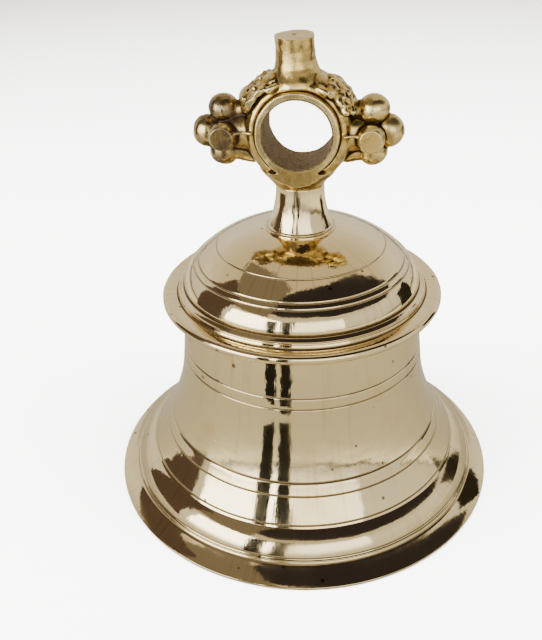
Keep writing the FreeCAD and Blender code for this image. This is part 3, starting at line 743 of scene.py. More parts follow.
@dataclass
class Turning:
    """A closed outline turned about the upright axis.

    Attributes:
        corners: the outline's corners, anticlockwise when radius runs right and height up.
        reliefs: fine grooves and beads on it.
        inside_from: number of the corner where the unbuffed inside begins, or None.
        wobble: height of the slow waves left by hand finishing.
        segments: faces round the axis.
        fine: distance between samples of the outline.
        coarse: distance between those kept on a plain run.
        seed: seed of the waves.
    """

    corners: list[Corner]
    reliefs: list[Relief] = field(default_factory=list)
    inside_from: int | None = None
    wobble: float = 0.0
    segments: int = 432
    fine: float = 0.1
    coarse: float = 1.6
    seed: int = 5

    def outline(self) -> tuple[np.ndarray, np.ndarray]:
        """Sample the outline finely and round its corners.

        Returns:
            Points, and the distance along the outline of each corner.
        """
        runs = []
        places = []
        travelled = 0.0
        for index, corner in enumerate(self.corners):
            following = self.corners[(index + 1) % len(self.corners)]
            start = (corner.radius, corner.height)
            end = (following.radius, following.height)
            if corner.bend:
                run = arc_points(start, end, corner.bend, corner.side, self.fine)
            else:
                run = line_points(start, end, self.fine)
            places.append(travelled)
            closed = np.vstack([run, end])
            travelled += float(np.hypot(*np.diff(closed, axis=0).T).sum())
            runs.append(run)
        points = np.vstack(runs)
        along = self.distances(points)
        rounded = points.copy()
        for corner, place in zip(self.corners, places):
            if corner.ease > 0:
                self.round_off(points, rounded, along, place, corner.ease)
        return rounded, np.array(places)

    @staticmethod
    def distances(points: np.ndarray) -> np.ndarray:
        """Measure how far along a closed outline each point is."""
        steps = np.hypot(*np.diff(points, axis=0).T)
        return np.concatenate([[0.0], np.cumsum(steps)])

    @staticmethod
    def round_off(points: np.ndarray, rounded: np.ndarray, along: np.ndarray, place: float,
                  ease: float) -> None:
        """Round one corner by averaging over a window that closes away from it.

        Args:
            points: the sharp outline.
            rounded: the outline that takes the result.
            along: distance along the outline of each point.
            place: distance along it of the corner.
            ease: size of the rounding.
        """
        reach = 2 * ease
        for index in np.nonzero(np.abs(along - place) < reach)[0]:
            half = ease * (1 - abs(along[index] - place) / reach)
            near = np.abs(along - along[index]) <= half
            rounded[index] = points[near].mean(axis=0)

    @staticmethod
    def middle(points: np.ndarray, relief: Relief) -> int:
        """Find the sample nearest to a relief's middle."""
        return int(np.argmin(np.hypot(points[:, 0] - relief.radius,
                                      points[:, 1] - relief.height)))

    def carve(self, points: np.ndarray) -> tuple[np.ndarray, np.ndarray]:
        """Cut the grooves and raise the beads.

        Args:
            points: the rounded outline.

        Returns:
            The carved outline and how stained each of its points is.
        """
        ahead = np.roll(points, -1, axis=0) - np.roll(points, 1, axis=0)
        ahead /= np.hypot(*ahead.T)[:, None]
        outward = np.c_[ahead[:, 1], -ahead[:, 0]]
        along = self.distances(points)
        stain = np.zeros(len(points))
        shift = np.zeros(len(points))
        for relief in self.reliefs:
            away = np.abs(along - along[self.middle(points, relief)]) / (relief.width / 2)
            shape = np.where(away < 1, 0.5 + 0.5 * np.cos(np.pi * np.minimum(away, 1)), 0)
            shift -= relief.depth * shape
            stain = np.maximum(stain, relief.stain * shape)
        return points + outward * shift[:, None], stain

    def thinned(self, points: np.ndarray, places: np.ndarray) -> np.ndarray:
        """Choose which samples to keep: all near a detail, few on a plain run.

        Args:
            points: the carved outline.
            places: distance along it of each corner.

        Returns:
            Indices of the samples to keep.
        """
        along = self.distances(points)
        wanted = set(range(0, len(points), max(int(self.coarse / self.fine), 1)))
        centres = [(place, 1.2 + 2 * corner.ease)
                   for place, corner in zip(places, self.corners)]
        for relief in self.reliefs:
            centres.append((along[self.middle(points, relief)], 0.7 * relief.width + 0.2))
        for place, reach in centres:
            wanted.update(np.nonzero(np.abs(along - place) < reach)[0][::2].tolist())
        return np.array(sorted(wanted))

    def waves(self, angles: np.ndarray, heights: np.ndarray) -> np.ndarray:
        """Slow unevenness of a surface that was finished by hand.

        Args:
            angles: place round the axis of each vertex, in radians.
            heights: its height.

        Returns:
            How far each vertex moves out.
        """
        rng = np.random.default_rng(self.seed)
        total = np.zeros_like(angles)
        for _ in range(26):
            turns = rng.integers(2, 26)
            length = rng.uniform(14.0, 90.0)
            phase = rng.uniform(0, 2 * math.pi, 2)
            part = np.sin(angles * turns + phase[0]) * np.sin(
                heights * 2 * math.pi / length + phase[1])
            total += part / (1 + 0.12 * turns)
        return total * self.wobble / 3.0

    def build(self, name: str) -> bpy.types.Object:
        """Turn the outline into a mesh object.

        Args:
            name: the object's name.

        Returns:
            The object, its masks filled in.
        """
        points, places = self.outline()
        points, stain = self.carve(points)
        keep = self.thinned(points, places)
        inside = np.zeros(len(points))
        if self.inside_from is not None:
            inside[self.distances(points) >= places[self.inside_from]] = 1.0
        points, stain, inside = points[keep], stain[keep], inside[keep]
        angles = np.linspace(0, 2 * math.pi, self.segments, endpoint=False)
        grid_angle, grid_radius = np.meshgrid(angles, points[:, 0])
        _, grid_height = np.meshgrid(angles, points[:, 1])
        grid_radius = grid_radius - np.abs(self.waves(grid_angle, grid_height)) * (
            grid_radius > 8.0)
        vertices = np.stack([grid_radius * np.cos(grid_angle),
                             grid_radius * np.sin(grid_angle), grid_height], axis=-1)
        masks = {Mask.GROOVE: np.repeat(stain, self.segments),
                 Mask.INSIDE: np.repeat(inside, self.segments)}
        return grid_object(name, vertices.reshape(-1, 3) * MM, len(points), self.segments, masks)


def grid_object(name: str, vertices: np.ndarray, rows: int, columns: int,
                masks: dict[Mask, np.ndarray]) -> bpy.types.Object:
    """Make an object from a grid of vertices that closes both ways.

    Args:
        name: the object's name.
        vertices: places in metres, row after row.
        rows: how many rows there are.
        columns: how many vertices a row has.
        masks: values to store on the vertices.

    Returns:
        The new object.
    """
    row, column = np.meshgrid(np.arange(rows), np.arange(columns), indexing="ij")
    next_row = (row + 1) % rows
    next_column = (column + 1) % columns
    faces = np.stack([row * columns + column, row * columns + next_column,
                      next_row * columns + next_column, next_row * columns + column],
                     axis=-1).reshape(-1, 4)
    mesh = bpy.data.meshes.new(name)
    mesh.vertices.add(len(vertices))
    mesh.vertices.foreach_set("co", vertices.astype(np.float32).ravel())
    mesh.loops.add(faces.size)
    mesh.loops.foreach_set("vertex_index", faces.astype(np.int32).ravel())
    mesh.polygons.add(len(faces))
    mesh.polygons.foreach_set("loop_start", np.arange(0, faces.size, 4, dtype=np.int32))
    mesh.polygons.foreach_set("use_smooth", np.ones(len(faces), bool))
    mesh.update(calc_edges=True)
    for mask, values in masks.items():
        layer = mesh.attributes.new(mask.value, "FLOAT", "POINT")
        layer.data.foreach_set("value", values.astype(np.float32))
    return link_object(name, mesh)


def link_object(name: str, mesh: bpy.types.Mesh) -> bpy.types.Object:
    """Put a mesh into the scene as an object.

    Args:
        name: the object's name.
        mesh: its mesh.

    Returns:
        The new object.
    """
    made = bpy.data.objects.new(name, mesh)
    bpy.context.scene.collection.objects.link(made)
    return made


def dress(piece: bpy.types.Object, finish: Finish) -> None:
    """Give a piece one finish all over.

    Args:
        piece: the object to dress.
        finish: its finish.
    """
    piece.data.materials.clear()
    piece.data.materials.append(finish.material())


def stand_in(piece: bpy.types.Object, node: str, body: Body, finish: Finish) -> None:
    """Dress a piece, let it ride on its body and show it in place of a CAD node.

    Args:
        piece: the object.
        node: the CAD node it stands for.
        body: the body it moves with.
        finish: its finish.
    """
    dress(piece, finish)
    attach(piece, body.value)
    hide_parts(node)
    LOG.info("%s stands for %s with %d faces", piece.name, node, len(piece.data.polygons))


@dataclass
class BellAndCollar:
    """The turned bell and the turned collar on its dome."""

    rim_radius: float = 142.24
    lip_radius: float = 128.4
    lip_top: float = 11.5
    waist_foot: float = 26.9
    waist_foot_radius: float = 115.4
    waist_bend: float = 97.44
    waist_bend_radius: float = 86.90
    flange_foot: float = 144.0
    flange_top: float = 150.6
    flange_radius: float = 94.353
    bead_radius: float = 82.107
    bead_height: float = 155.8
    dome_bend: float = 85.111
    dome_centre: Point = (15.1, 108.68)
    seat: float = 193.291
    ceiling: float = 185.791
    bolt_hole: float = 6.6
    collar_top: float = 224.191
    collar_foot_radius: float = 24.0
    collar_top_radius: float = 16.0
    groove_depth: float = 0.5
    groove_width: float = 1.5
    bell_wobble: float = 0.11
    collar_wobble: float = 0.16

    def bell_corners(self) -> list[Corner]:
        """Corners of the bell's outline, from the rim's inside edge outward and up.

        Returns:
            The corners in order.
        """
        outside = [
            Corner(127.94, 0.0, ease=0.8),
            Corner(141.34, 0.0, bend=0.9, ease=0.1),
            Corner(self.rim_radius, 0.9, ease=0.2),
            Corner(self.rim_radius, 2.0, bend=38.8, side=-1, ease=0.35),
            Corner(self.lip_radius, self.lip_top, bend=26.3, ease=0.5),
            Corner(self.waist_foot_radius, self.waist_foot, bend=138.0, side=-1, ease=0.5),
            Corner(self.waist_bend_radius, self.waist_bend),
            Corner(82.007, self.flange_foot, ease=0.8),
            Corner(self.flange_radius, self.flange_foot, bend=3.31, ease=0.5),
            Corner(self.flange_radius, self.flange_top, ease=0.5),
            Corner(86.707, 150.2, bend=9.0, ease=0.4),
            Corner(self.bead_radius, self.bead_height, bend=27.3),
            Corner(74.43, 169.7, bend=self.dome_bend),
            Corner(24.3, self.seat),
        ]
        inside = [
            Corner(self.bolt_hole, self.seat, ease=0.3),
            Corner(self.bolt_hole, self.ceiling, ease=0.3),
            Corner(28.0, self.ceiling, bend=51.2, side=-1),
            Corner(76.507, self.flange_top),
            Corner(81.40, self.waist_bend, bend=184.0),
            Corner(104.0, self.waist_foot, bend=84.0),
        ]
        return outside + inside

    def bell_reliefs(self) -> list[Relief]:
        """Grooves and beads on the outside of the bell.

        Returns:
            The reliefs from the dome down.
        """
        depth, width = self.groove_depth, self.groove_width
        return [
            Relief(57.8, self.on_dome(57.8), depth * 0.7, width, 0.6),
            Relief(71.0, self.on_dome(71.0), depth, width, 0.8),
            Relief(74.3, self.on_dome(74.3), depth, width, 0.8),
            Relief(self.bead_radius, self.bead_height, depth * 1.2, 1.8, 1.0),
            Relief(86.0, 153.2, -0.5, 2.4, 0.0),
            Relief(86.9, 150.3, depth, 1.3, 0.9),
            Relief(85.48, 111.0, depth, width, 0.8),
            Relief(86.33, 102.9, depth, width, 0.8),
            Relief(99.55, 52.7, depth, width, 0.8),
            Relief(103.75, 44.5, depth, width, 0.8),
            Relief(114.2, 28.9, 0.35, 1.4, 0.8),
            Relief(self.lip_radius, self.lip_top, -0.55, 2.2, 0.0),
            Relief(127.2, 12.9, 0.35, 1.2, 0.8),
            Relief(130.0, 10.2, 0.35, 1.2, 0.6),
        ]

    def on_dome(self, radius: float) -> float:
        """Height of the dome's outside at a radius."""
        across, height = self.dome_centre
        return height + math.sqrt(self.dome_bend ** 2 - (radius - across) ** 2)

    def build_bell(self) -> None:
        """Turn the bell and show it in place of the CAD one."""
        turning = Turning(self.bell_corners(), self.bell_reliefs(), inside_from=14,
                          wobble=self.bell_wobble)
        stand_in(turning.build("bell"), "bell_body", Body.BELL, BELL_METAL)

    def build_collar(self) -> None:
        """Turn the collar and show it in place of the CAD one."""
        corners = [
            Corner(self.bolt_hole, self.seat, ease=0.2),
            Corner(self.collar_foot_radius, self.seat, ease=0.2),
            Corner(self.collar_foot_radius, self.seat + 1.3, ease=0.4),
            Corner(21.6, self.seat + 2.8, bend=70.0, side=-1, ease=0.6),
            Corner(self.collar_top_radius, self.collar_top - 3.0, ease=0.4),
            Corner(self.collar_top_radius, self.collar_top, ease=0.5),
            Corner(self.bolt_hole, self.collar_top, ease=0.2),
        ]
        reliefs = [Relief(22.8, self.seat + 2.1, 0.3, 1.0, 0.8)]
        turning = Turning(corners, reliefs, wobble=self.collar_wobble, segments=288,
                          coarse=0.8, seed=11)
        stand_in(turning.build("collar"), "neck_collar", Body.BELL, BELL_METAL)


@dataclass(frozen=True)
class Cross:
    """An arm of the crown and the five balls cast on it, no two of them quite alike.

    Attributes:
        arm: stations of the arm, from the ring outward.
        balls: middle, half-widths and turn of the balls: top, bottom, end, front and back.
        webs: stations of the webs that tie the top and bottom balls to the ring.
    """

    arm: tuple[Station, ...]
    balls: tuple[tuple[Place, Place, float], ...]
    webs: tuple[tuple[Station, ...], ...]


LEFT_CROSS = Cross(
    arm=((-26.0, 0.0, 258.4, 15.0), (-34.0, 0.0, 258.4, 12.6), (-43.0, 0.0, 258.4, 11.2),
         (-51.0, 0.0, 258.0, 9.4)),
    balls=(((-47.8, -0.5, 272.8), (10.0, 9.4, 9.0), 10.0),
           ((-49.0, 0.0, 245.6), (9.8, 9.6, 9.8), -12.0),
           ((-59.4, 0.2, 257.8), (9.7, 9.3, 10.5), 0.0),
           ((-47.2, -12.6, 257.6), (9.2, 9.6, 9.0), 0.0),
           ((-47.8, 12.8, 259.6), (9.2, 9.3, 9.3), 0.0)),
    webs=(((-24.0, 0.0, 272.0, 8.5), (-43.0, 0.0, 271.5, 5.4)),
          ((-28.0, 0.0, 244.0, 7.0), (-46.0, 0.0, 247.0, 6.4))))

RIGHT_CROSS = Cross(
    arm=((26.0, 0.0, 258.6, 15.0), (34.0, 0.0, 258.8, 12.8), (43.0, 0.0, 259.0, 11.2),
         (50.0, 0.0, 259.4, 9.2)),
    balls=(((45.8, -0.5, 272.8), (10.2, 9.8, 9.6), -14.0),
           ((46.4, 0.0, 246.6), (9.4, 9.4, 9.2), 8.0),
           ((56.2, 0.0, 259.6), (9.2, 9.2, 10.4), 0.0),
           ((45.2, -12.6, 257.6), (8.8, 9.6, 8.7), 0.0),
           ((46.6, 12.8, 260.0), (9.4, 9.3, 9.3), 0.0)),
    webs=(((24.0, 0.0, 271.5, 8.5), (41.0, 0.0, 271.0, 6.6)),
          ((28.0, 0.0, 245.0, 7.0), (44.0, 0.0, 248.0, 6.2))))


@dataclass
class CrownHandle:
    """The cast crown: ring, stub, boss, arms, foliage and two crosses of balls."""

    base: float = 224.191
    centre: float = 260.391
    bore: float = 21.6
    face: float = 18.6
    stub_top: float = 317.5
    stub_lean: float = 2.9
    boss_radius: float = 15.8
    voxel: float = 0.6
    smoothing: int = 60
    relief: float = 0.7
    seed: int = 21

    def ring(self, build: bmesh.types.BMesh) -> None:
        """Add the ring as a lathe about the Y axis through its middle.

        Args:
            build: mesh that takes the ring.
        """
        face = self.face
        section = [(self.bore, -face), (26.2, -face), (26.9, -16.4), (30.2, -15.0)]
        crest = [(32.4, -12.4), (33.8, -8.6), (34.5, -4.4), (34.7, 0.0)]
        half = section + crest
        whole = half + [(radius, -along) for radius, along in reversed(half[:-1])]
        segments = 160
        rings = []
        for index in range(segments):
            angle = 2 * math.pi * index / segments
            rings.append([build.verts.new((radius * math.cos(angle), along,
                                           self.centre + radius * math.sin(angle)))
                          for radius, along in whole])
        for index in range(segments):
            here = rings[index]
            there = rings[(index + 1) % segments]
            for place in range(len(whole)):
                onward = (place + 1) % len(whole)
                build.faces.new((here[place], here[onward], there[onward], there[place]))

    def rod(self, build: bmesh.types.BMesh, stations: tuple[Station, ...],
            segments: int = 48) -> None:
        """Add a round rod through stations of given radii, closed at both ends.

        Args:
            build: mesh that takes the rod.
            stations: X, Y, Z and radius of each section, in order.
            segments: faces round the rod.
        """
        direction = (Vector(stations[-1][:3]) - Vector(stations[0][:3])).normalized()
        turn = direction.to_track_quat("Z", "Y")
        loops = []
        for *centre, radius in stations:
            loops.append([build.verts.new(Vector(centre) + turn @ Vector((
                radius * math.cos(2 * math.pi * step / segments),
                radius * math.sin(2 * math.pi * step / segments), 0.0)))
                for step in range(segments)])
        for lower, upper in zip(loops, loops[1:]):
            for step in range(segments):
                onward = (step + 1) % segments
                build.faces.new((lower[step], lower[onward], upper[onward], upper[step]))
        build.faces.new(list(reversed(loops[0])))
        build.faces.new(loops[-1])

    def ball(self, build: bmesh.types.BMesh, centre: Place, radii: Place,
             turn: float = 0.0) -> None:
        """Add a ball or a lobe.

        Args:
            build: mesh that takes it.
            centre: its middle.
            radii: its half-widths.
            turn: how far it is turned about Y, in degrees.
        """
        place = (Matrix.Translation(centre) @ Matrix.Rotation(math.radians(turn), 4, "Y")
                 @ Matrix.Diagonal((*radii, 1.0)))
        bmesh.ops.create_icosphere(build, subdivisions=4, radius=1.0, matrix=place)

    def stub(self, build: bmesh.types.BMesh) -> None:
        """Add the stub above the ring, a little waisted and spread at its root.

        Args:
            build: mesh that takes the stub.
        """
        lean = math.radians(self.stub_lean)
        length = (self.stub_top - self.centre) / math.cos(lean)
        stations = []
        for reach, radius in ((24.5, 17.6), (28.0, 17.8), (31.0, 16.8), (34.5, 14.9),
                              (38.0, 13.3), (42.0, 12.3), (48.0, 11.9), (54.0, 12.0),
                              (length - 1.0, 12.2), (length - 0.45, 12.0)):
            stations.append((-reach * math.sin(lean), 0.0,
                             self.centre + reach * math.cos(lean), radius))
        self.rod(build, tuple(stations), 64)

    def boss(self, build: bmesh.types.BMesh) -> None:
        """Add the boss that stands on the collar.

        Args:
            build: mesh that takes the boss.
        """
        stations = []
        for rise, wider in ((0.0, 0.2), (1.2, 1.2), (4.0, 3.4), (8.0, 7.2), (12.0, 9.8)):
            stations.append((-0.6, 0.0, self.base + rise, self.boss_radius + wider))
        self.rod(build, tuple(stations), 64)

    def cluster(self, build: bmesh.types.BMesh, cross: Cross) -> None:
        """Add an arm with its cross of balls.

        Args:
            build: mesh that takes them.
            cross: sizes and places of the arm, the balls and the webs.
        """
        self.rod(build, cross.arm)
        for centre, radii, turn in cross.balls:
            self.ball(build, centre, radii, turn)
        for web in cross.webs:
            self.rod(build, web)

    def foliage(self, build: bmesh.types.BMesh) -> None:
        """Add the worn leaves and beads on the shoulders of the ring.

        Args:
            build: mesh that takes them.
        """
        rng = np.random.default_rng(self.seed)
        for side, reach in ((-1, 34.4), (1, 32.8)):
            for angle in range(28, 54, 8):
                theta = math.radians(angle)
                self.ball(build, (side * reach * math.cos(theta), 0.0,
                                  self.centre + reach * math.sin(theta)),
                          (6.6, 16.2, 5.2), side * (90 - angle))
            for along in (-15.4, -10.4, -5.2, 0.0, 5.2, 10.4, 15.4):
                crest = reach + 4.9 - 0.021 * along ** 2
                angle = 25.0 + rng.uniform(0, 5)
                while angle < 67:
                    low = 0.2 * max(angle - 50.0, 0.0)
                    self.leaf(build, rng, side, angle, crest - low, along)
                    angle += rng.uniform(7.5, 12.0)
        self.ball(build, (-32.8, 0.0, 281.0), (5.0, 13.5, 4.6), -50)
        self.ball(build, (14.8, 0.0, 289.6), (9.0, 13.5, 4.4), 34)
        self.ball(build, (-17.8, 0.0, 290.2), (9.0, 13.5, 4.4), -34)

    def leaf(self, build: bmesh.types.BMesh, rng: np.random.Generator, side: int, angle: float,
             reach: float, along: float) -> None:
        """Add one worn leaf with a bead at its tip.

        Args:
            build: mesh that takes it.
            rng: source of its unevenness.
            side: -1 for the left of the ring, 1 for the right.
            angle: degrees above the ring's arms.
            reach: distance from the ring's middle.
            along: place along the bore.
        """
        theta = math.radians(angle)
        centre = Vector((side * reach * math.cos(theta), along + rng.uniform(-1.2, 1.2),
                         self.centre + reach * math.sin(theta)))
        length = rng.uniform(3.4, 5.6)
        place = (Matrix.Translation(centre)
                 @ Matrix.Rotation(math.radians(side * (90 - angle)), 4, "Y")
                 @ Matrix.Rotation(math.radians(rng.uniform(-55, 55)), 4, "Z"))
        bmesh.ops.create_icosphere(build, subdivisions=3, radius=1.0,
                                   matrix=place @ Matrix.Diagonal((length, length * 0.52,
                                                                   rng.uniform(1.8, 3.0), 1.0)))
        bead = place @ Matrix.Translation((length * 0.8, 0, 0.7))
        bmesh.ops.create_icosphere(build, subdivisions=3, radius=rng.uniform(1.3, 1.9),
                                   matrix=bead)

    def fins(self, build: bmesh.types.BMesh) -> None:
        """Add the thin parting-line fins between the ring's band and the front balls.

        Args:
            build: mesh that takes them.
        """
        for side, height in ((-1, 260.8), (1, 259.6)):
            for along in (-1, 1):
                self.rod(build, ((side * 28.5, along * 16.6, height, 1.1),
                                 (side * 34.0, along * 15.2, height + 0.3, 0.9),
                                 (side * 40.5, along * 15.6, height - 0.2, 1.2)), 12)

    def finish_casting(self, cast: bpy.types.Object) -> None:
        """Fuse, soften and roughen the casting, then grind its faces and bore it.

        Args:
            cast: object whose mesh holds the loose shapes.
        """
        melt = cast.modifiers.new("melt", "REMESH")
        melt.mode = "VOXEL"
        melt.voxel_size = self.voxel
        soften = cast.modifiers.new("soften", "SMOOTH")
        soften.factor = 0.6
        soften.iterations = 4
        graph = bpy.context.evaluated_depsgraph_get()
        fused = bpy.data.meshes.new_from_object(cast.evaluated_get(graph))
        cast.modifiers.clear()
        cast.data = fused
        count = len(fused.vertices)
        places = np.empty(count * 3, np.float32)
        fused.vertices.foreach_get("co", places)
        places = places.reshape(-1, 3).astype(float)
        places = self.engrave(self.uneven(places))
        fused.vertices.foreach_set("co", (places * MM).astype(np.float32).ravel())
        fused.polygons.foreach_set("use_smooth", np.ones(len(fused.polygons), bool))
        fused.update()
        self.mark_relief(fused, places)

    def mark_relief(self, fused: bpy.types.Mesh, places: np.ndarray) -> None:
        """Mark hollows and crests by comparing the skin with a smoothed copy of it.

        Args:
            fused: the casting's mesh, which takes the two masks.
            places: vertex places.
        """
        ends = np.empty(len(fused.edges) * 2, np.int32)
        fused.edges.foreach_get("vertices", ends)
        ends = ends.reshape(-1, 2)
        start = np.r_[ends[:, 0], ends[:, 1]]
        stop = np.r_[ends[:, 1], ends[:, 0]]
        neighbours = np.bincount(start, minlength=len(places)).clip(1)
        smooth = places.copy()
        for _ in range(self.smoothing):
            for axis in range(3):
                total = np.bincount(start, weights=smooth[stop, axis], minlength=len(places))
                smooth[:, axis] = 0.4 * smooth[:, axis] + 0.6 * total / neighbours
        normals = np.empty(len(places) * 3, np.float32)
        fused.vertices.foreach_get("normal", normals)
        sunk = ((smooth - places) * normals.reshape(-1, 3)).sum(axis=1) / self.relief
        for mask, values in ((Mask.HOLLOW, sunk), (Mask.CREST, -sunk)):
            layer = fused.attributes.new(mask.value, "FLOAT", "POINT")
            layer.data.foreach_set("value", values.clip(0, 1).astype(np.float32))

    def uneven(self, places: np.ndarray) -> np.ndarray:
        """Move the casting's skin by smooth seeded waves.

        Args:
            places: vertex places.

        Returns:
            The moved places.
        """
        rng = np.random.default_rng(self.seed + 1)
        moved = places.copy()
        for _ in range(40):
            length = rng.uniform(3.5, 16.0)
            way = rng.normal(size=3)
            way *= 2 * math.pi / (length * np.linalg.norm(way))
            shift = rng.normal(size=3)
            shift *= 0.0042 * length / np.linalg.norm(shift)
            moved += np.sin(places @ way + rng.uniform(0, 6.28))[:, None] * shift
        return moved

    def engrave(self, places: np.ndarray) -> np.ndarray:
        """Cut the band's outline, the centre mark and the ground faces.

        Args:
            places: vertex places.

        Returns:
            The cut places.
        """
        cut = places.copy()
        across = np.hypot(cut[:, 0], cut[:, 2] - self.centre)
        line = np.exp(-((across - 26.9) / 0.7) ** 2) * (np.abs(cut[:, 1]) > 13.5)
        cut[:, 1] -= np.sign(cut[:, 1]) * line * 1.3 * (cut[:, 2] > self.centre - 21)
        cut[:, 1] = np.clip(cut[:, 1], -self.face, self.face)
        lean = math.radians(self.stub_lean)
        tip = (-(self.stub_top - self.centre) * math.tan(lean), 0.0)
        from_tip = np.hypot(cut[:, 0] - tip[0], cut[:, 1] - tip[1])
        top = cut[:, 2] > self.stub_top - 3.0
        cut[:, 2] -= top * 2.6 * np.exp(-(from_tip / 1.1) ** 4)
        sawn = self.stub_top - 1.1 + (cut[:, 1] * 0.09).clip(-1.1, 1.1)
        cut[:, 2] = np.minimum(cut[:, 2], sawn).clip(self.base + 0.02, self.stub_top)
        proud = (across < self.bore) & (across > self.bore - 1.0)
        scale = np.where(proud, self.bore / np.maximum(across, 1e-6), 1.0)
        cut[:, 0] *= scale
        cut[:, 2] = self.centre + (cut[:, 2] - self.centre) * scale
        return cut

    def build(self) -> None:
        """Cast the crown and show it in place of the CAD one."""
        shapes = bmesh.new()
        self.ring(shapes)
        self.stub(shapes)
        self.boss(shapes)
        self.cluster(shapes, LEFT_CROSS)
        self.cluster(shapes, RIGHT_CROSS)
        self.foliage(shapes)
        self.fins(shapes)
        bmesh.ops.recalc_face_normals(shapes, faces=shapes.faces)
        mesh = bpy.data.meshes.new("crown")
        shapes.to_mesh(mesh)
        shapes.free()
        cast = link_object("crown", mesh)
        self.finish_casting(cast)
        stand_in(cast, "crown_handle", Body.BELL, CROWN_BRASS)


@dataclass
class InnerPieces:
    """The fastening stack, the shackle and the clapper, which keep their CAD shapes."""

    finishes: dict[str, Finish] = field(default_factory=lambda: {
        "crown_eye_bolt": FORGED_STEEL,
        "crown_pad": OILED_LEATHER,
        "crown_washer": TURNED_STEEL,
        "crown_nut": TURNED_STEEL,
        "shackle_bow": FORGED_STEEL,
        "shackle_pin": TURNED_STEEL,
        "shackle_pin_nut": TURNED_STEEL,
        "clapper_rod": FORGED_STEEL,
        "clapper_ball": CLAPPER_BRASS,
        "clapper_nut": CLAPPER_BRASS,
    })

    def build(self, nodes: dict[str, bpy.types.Object]) -> None:
        """Dress each kept CAD node.

        Args:
            nodes: CAD objects by node name.
        """
        for name, finish in self.finishes.items():
            dress(nodes[name], finish)
            LOG.info("%s keeps its shape, dressed in %s", name, finish.name)


@dataclass(frozen=True)
class Panel:
    """A plain cloth or board round the bell, seen only as a reflection.

    Attributes:
        name: the object's name.
        colour: what it sends back.
        power: how strongly.
        corners: its corners in metres.
        fade: share of its height over which it fades out at the top and at the bottom.
    """

    name: str
    colour: str
    power: float
    corners: tuple[Place, ...]
    fade: float = 0.0


